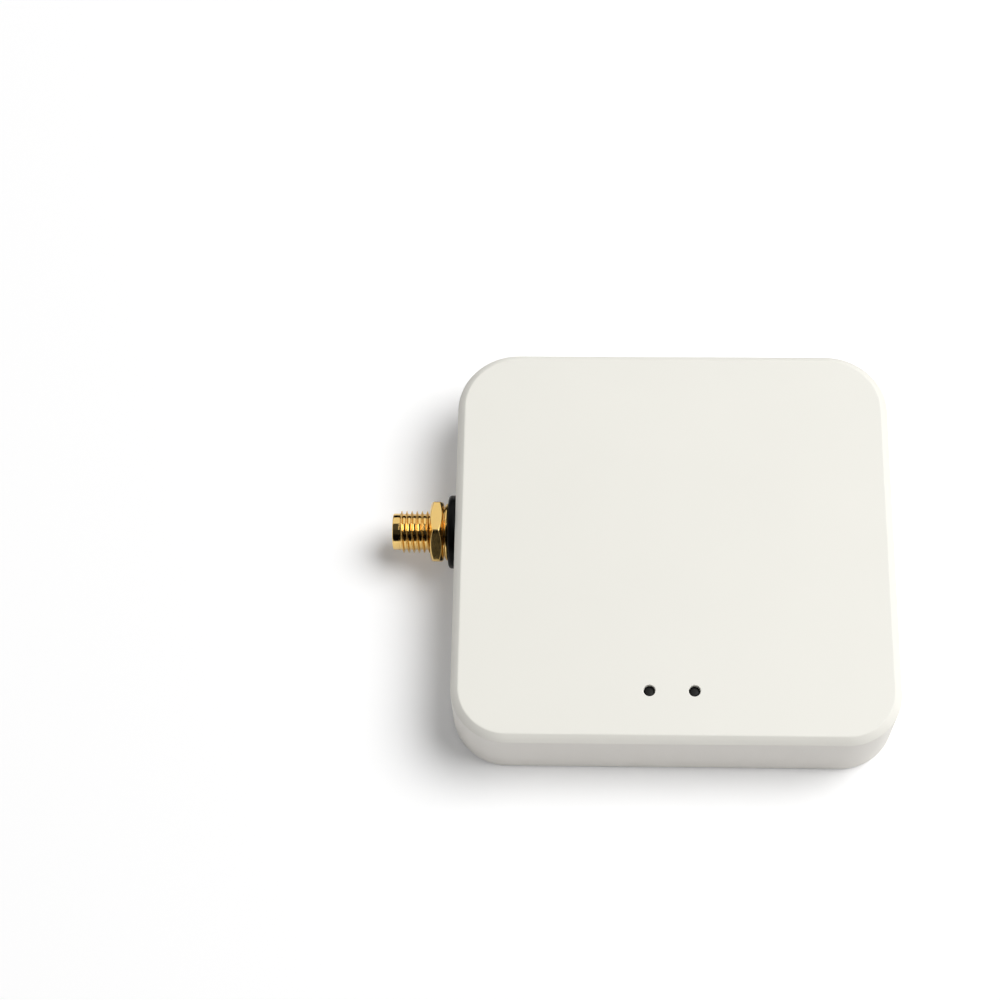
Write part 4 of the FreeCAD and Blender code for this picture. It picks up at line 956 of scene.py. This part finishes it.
dressed = {
    "base_plate": (basePlastic, "base_plastic", 0.12),
    "circuit_board": (boardGreen, "board_laminate", 0.04),
    "main_radio_board": (moduleBlack, "module_laminate", 0.04),
    "second_radio_board": (moduleBlack, "module_laminate", 0.04),
    "main_radio_shield": (shieldTin, "shield_tin", 0.06),
    "second_radio_shield": (shieldTin, "shield_tin", 0.06),
    "crystal": (shieldTin, "shield_tin", 0.06),
    "usb_shell": (socketSteel, "socket_steel", 0.08),
    "usb_tongue": (tongueBlack, "tongue_black", 0.08),
    "usb_contacts": (contactGold, "gold_plate", 0.0),
    "antenna_lead": (leadJacket, "lead_jacket", 0.0),
    "lead_plug": (contactGold, "gold_plate", 0.05),
    "lead_socket": (contactGold, "gold_plate", 0.03),
    "voltage_regulator": (chipBlack, "chip_black", 0.06),
    "serial_chip": (chipBlack, "chip_black", 0.05),
    "power_inductor": (ferriteGrey, "ferrite_grey", 0.12),
    "storage_capacitors": (tantalumOchre, "tantalum_body", 0.08),
    "chip_capacitors": (ceramicTan, "chip_ceramic", 0.05),
    "chip_resistors": (chipBlack, "chip_black", 0.03),
}
for nodeName, (look, slotName, width) in dressed.items():
    dressNode(nodeName, look, slotName, bevel=width)
print("inner pieces dressed:", len(dressed))


# table, light and camera

table = {
    "side": 4000.0, "colour": (0.94, 0.91, 0.93), "seenColour": (0.90, 0.90, 0.90), "seenGlow": (0.19, 0.19, 0.19),
    "whiteFrom": 160.0, "whiteTo": 450.0,      # where the seen table turns plain white, from its middle
}


def buildTable():
    bm = bmesh.new()
    half = table["side"] / 2 * mm
    bm.faces.new([bm.verts.new((x * half, y * half, 0.0)) for x, y in ((-1, -1), (1, -1), (1, 1), (-1, 1))])
    floor = newObject("tableTop", bm)
    look = Finish("tableWhite", table["colour"], Roughness=0.9, Specular_IOR_Level=0.0)
    lit = look.node("ShaderNodeBsdfDiffuse", {}, {"Color": (*table["seenColour"], 1.0)})
    away = look.reach(look.place(), (0.0, 0.0, 0.0), (1.0, 1.0, 0.0))
    plainWhite = look.ramp(away, table["whiteFrom"] * mm, table["whiteTo"] * mm)
    glow = look.node("ShaderNodeEmission", {}, {
        "Color": look.blend(plainWhite, table["seenGlow"], (1.0, 1.0, 1.0)), "Strength": 1.0})
    both = look.node("ShaderNodeAddShader", {}, {0: lit, 1: glow})
    plain = Value(look.tree, look.shader.outputs[0])
    choice = look.node("ShaderNodeMixShader", {}, {0: look.seen(), 1: plain, 2: both})
    look.tree.links.new(choice.socket, look.tree.nodes["Material Output"].inputs["Surface"])
    floor.data.materials.append(look.material)


lamps = {
    "key": {"towards": (0.375, 0.12, 0.66), "distance": 2.00, "across": 1.55, "level": 1.10},
}
cardReach = 4.5      # how far each card runs to either side
cards = {    # dark cards that only gloss reflects, each from a near to a far edge, as (y, z), with its shade
    "front": ((-1.80, 0.138), (-1.80, 2.16), 0.004),
    "high": ((-1.80, 2.16), (-0.48, 2.40), 0.05),
    "overhead": ((-0.48, 2.40), (1.38, 2.40), 0.10),
    "horizon": ((0.032, 0.001), (0.90, 0.19), 0.004),
}
# the sky that lights is brighter towards one side, and falls to nothing overhead
world = {"horizon": 0.70, "side": 0.24, "brighterX": -0.8, "brighterY": 0.6, "seen": 1.0}


def buildLight():
    for name, lamp in lamps.items():
        direction = Vector(lamp["towards"]).normalized()
        data = bpy.data.lights.new(name + "Lamp", "AREA")
        data.shape = "DISK"
        data.size = lamp["across"]
        data.energy = lamp["level"] * math.pi ** 2 * lamp["distance"] ** 2      # equally bright at any distance
        made = bpy.data.objects.new(name + "Lamp", data)
        made.location = direction * lamp["distance"]
        made.rotation_euler = direction.to_track_quat("Z", "Y").to_euler()
        bpy.context.scene.collection.objects.link(made)

    for name, (near, far, shade) in cards.items():
        bm = bmesh.new()
        bm.faces.new([bm.verts.new((x, *edge)) for x, edge in ((-cardReach, near), (cardReach, near),
                                                               (cardReach, far), (-cardReach, far))])
        card = newObject(name + "Card", bm)
        look = Finish(name + "CardCloth", (shade, shade, shade), Roughness=1.0, Specular_IOR_Level=0.0)
        card.data.materials.append(look.material)
        card.visible_camera = card.visible_diffuse = card.visible_shadow = False

    sky = bpy.data.worlds.new("studio")
    sky.use_nodes = True
    bpy.context.scene.world = sky
    graph = Graph(sky.node_tree)
    way = graph.node("ShaderNodeTexCoord", output="Generated")
    across, deep, height = [graph.node("ShaderNodeSeparateXYZ", inputs={0: way}, output=letter) for letter in "XYZ"]
    brighter = (deep * world["brighterY"] + across * world["brighterX"]) * world["side"]
    low = 1.0 - height.atLeast(0.0)
    soft = low * low * (brighter + world["horizon"])
    level = soft + graph.seen() * (world["seen"] - soft)
    background = sky.node_tree.nodes["Background"]
    background.inputs["Color"].default_value = (1.0, 1.0, 1.0, 1.0)
    connect(sky.node_tree, background.inputs["Strength"], level)


view = {
    "azimuth": 4.681, "elevation": 66.446, "roll": -3.907, "target": (-25.86, 11.544, 0.0),
    "distance": 348.138, "focal": 2282.012, "frame": 1000,     # focal length in pixels of the square frame
}


def buildCamera():
    across, up = math.radians(view["azimuth"]), math.radians(view["elevation"])
    back = Vector((math.sin(across) * math.cos(up), -math.cos(across) * math.cos(up), math.sin(up)))
    right = Vector((math.cos(across), math.sin(across), 0.0))
    above = back.cross(right)
    roll = math.radians(view["roll"])
    tiltedRight = right * math.cos(roll) + above * math.sin(roll)
    tiltedUp = above * math.cos(roll) - right * math.sin(roll)
    data = bpy.data.cameras.new("camera")
    data.sensor_width = 36.0
    data.lens = view["focal"] * data.sensor_width / view["frame"]
    data.clip_start = 0.01
    data.clip_end = 20.0
    camera = bpy.data.objects.new("camera", data)
    turned = Matrix((tiltedRight, tiltedUp, back)).transposed().to_4x4()
    camera.matrix_world = Matrix.Translation(at(*view["target"]) + back * view["distance"] * mm) @ turned
    bpy.context.scene.collection.objects.link(camera)
    bpy.context.scene.camera = camera


buildTable()
buildLight()
buildCamera()
bpy.context.scene.view_settings.view_transform = "Standard"
print("table, light and camera set")
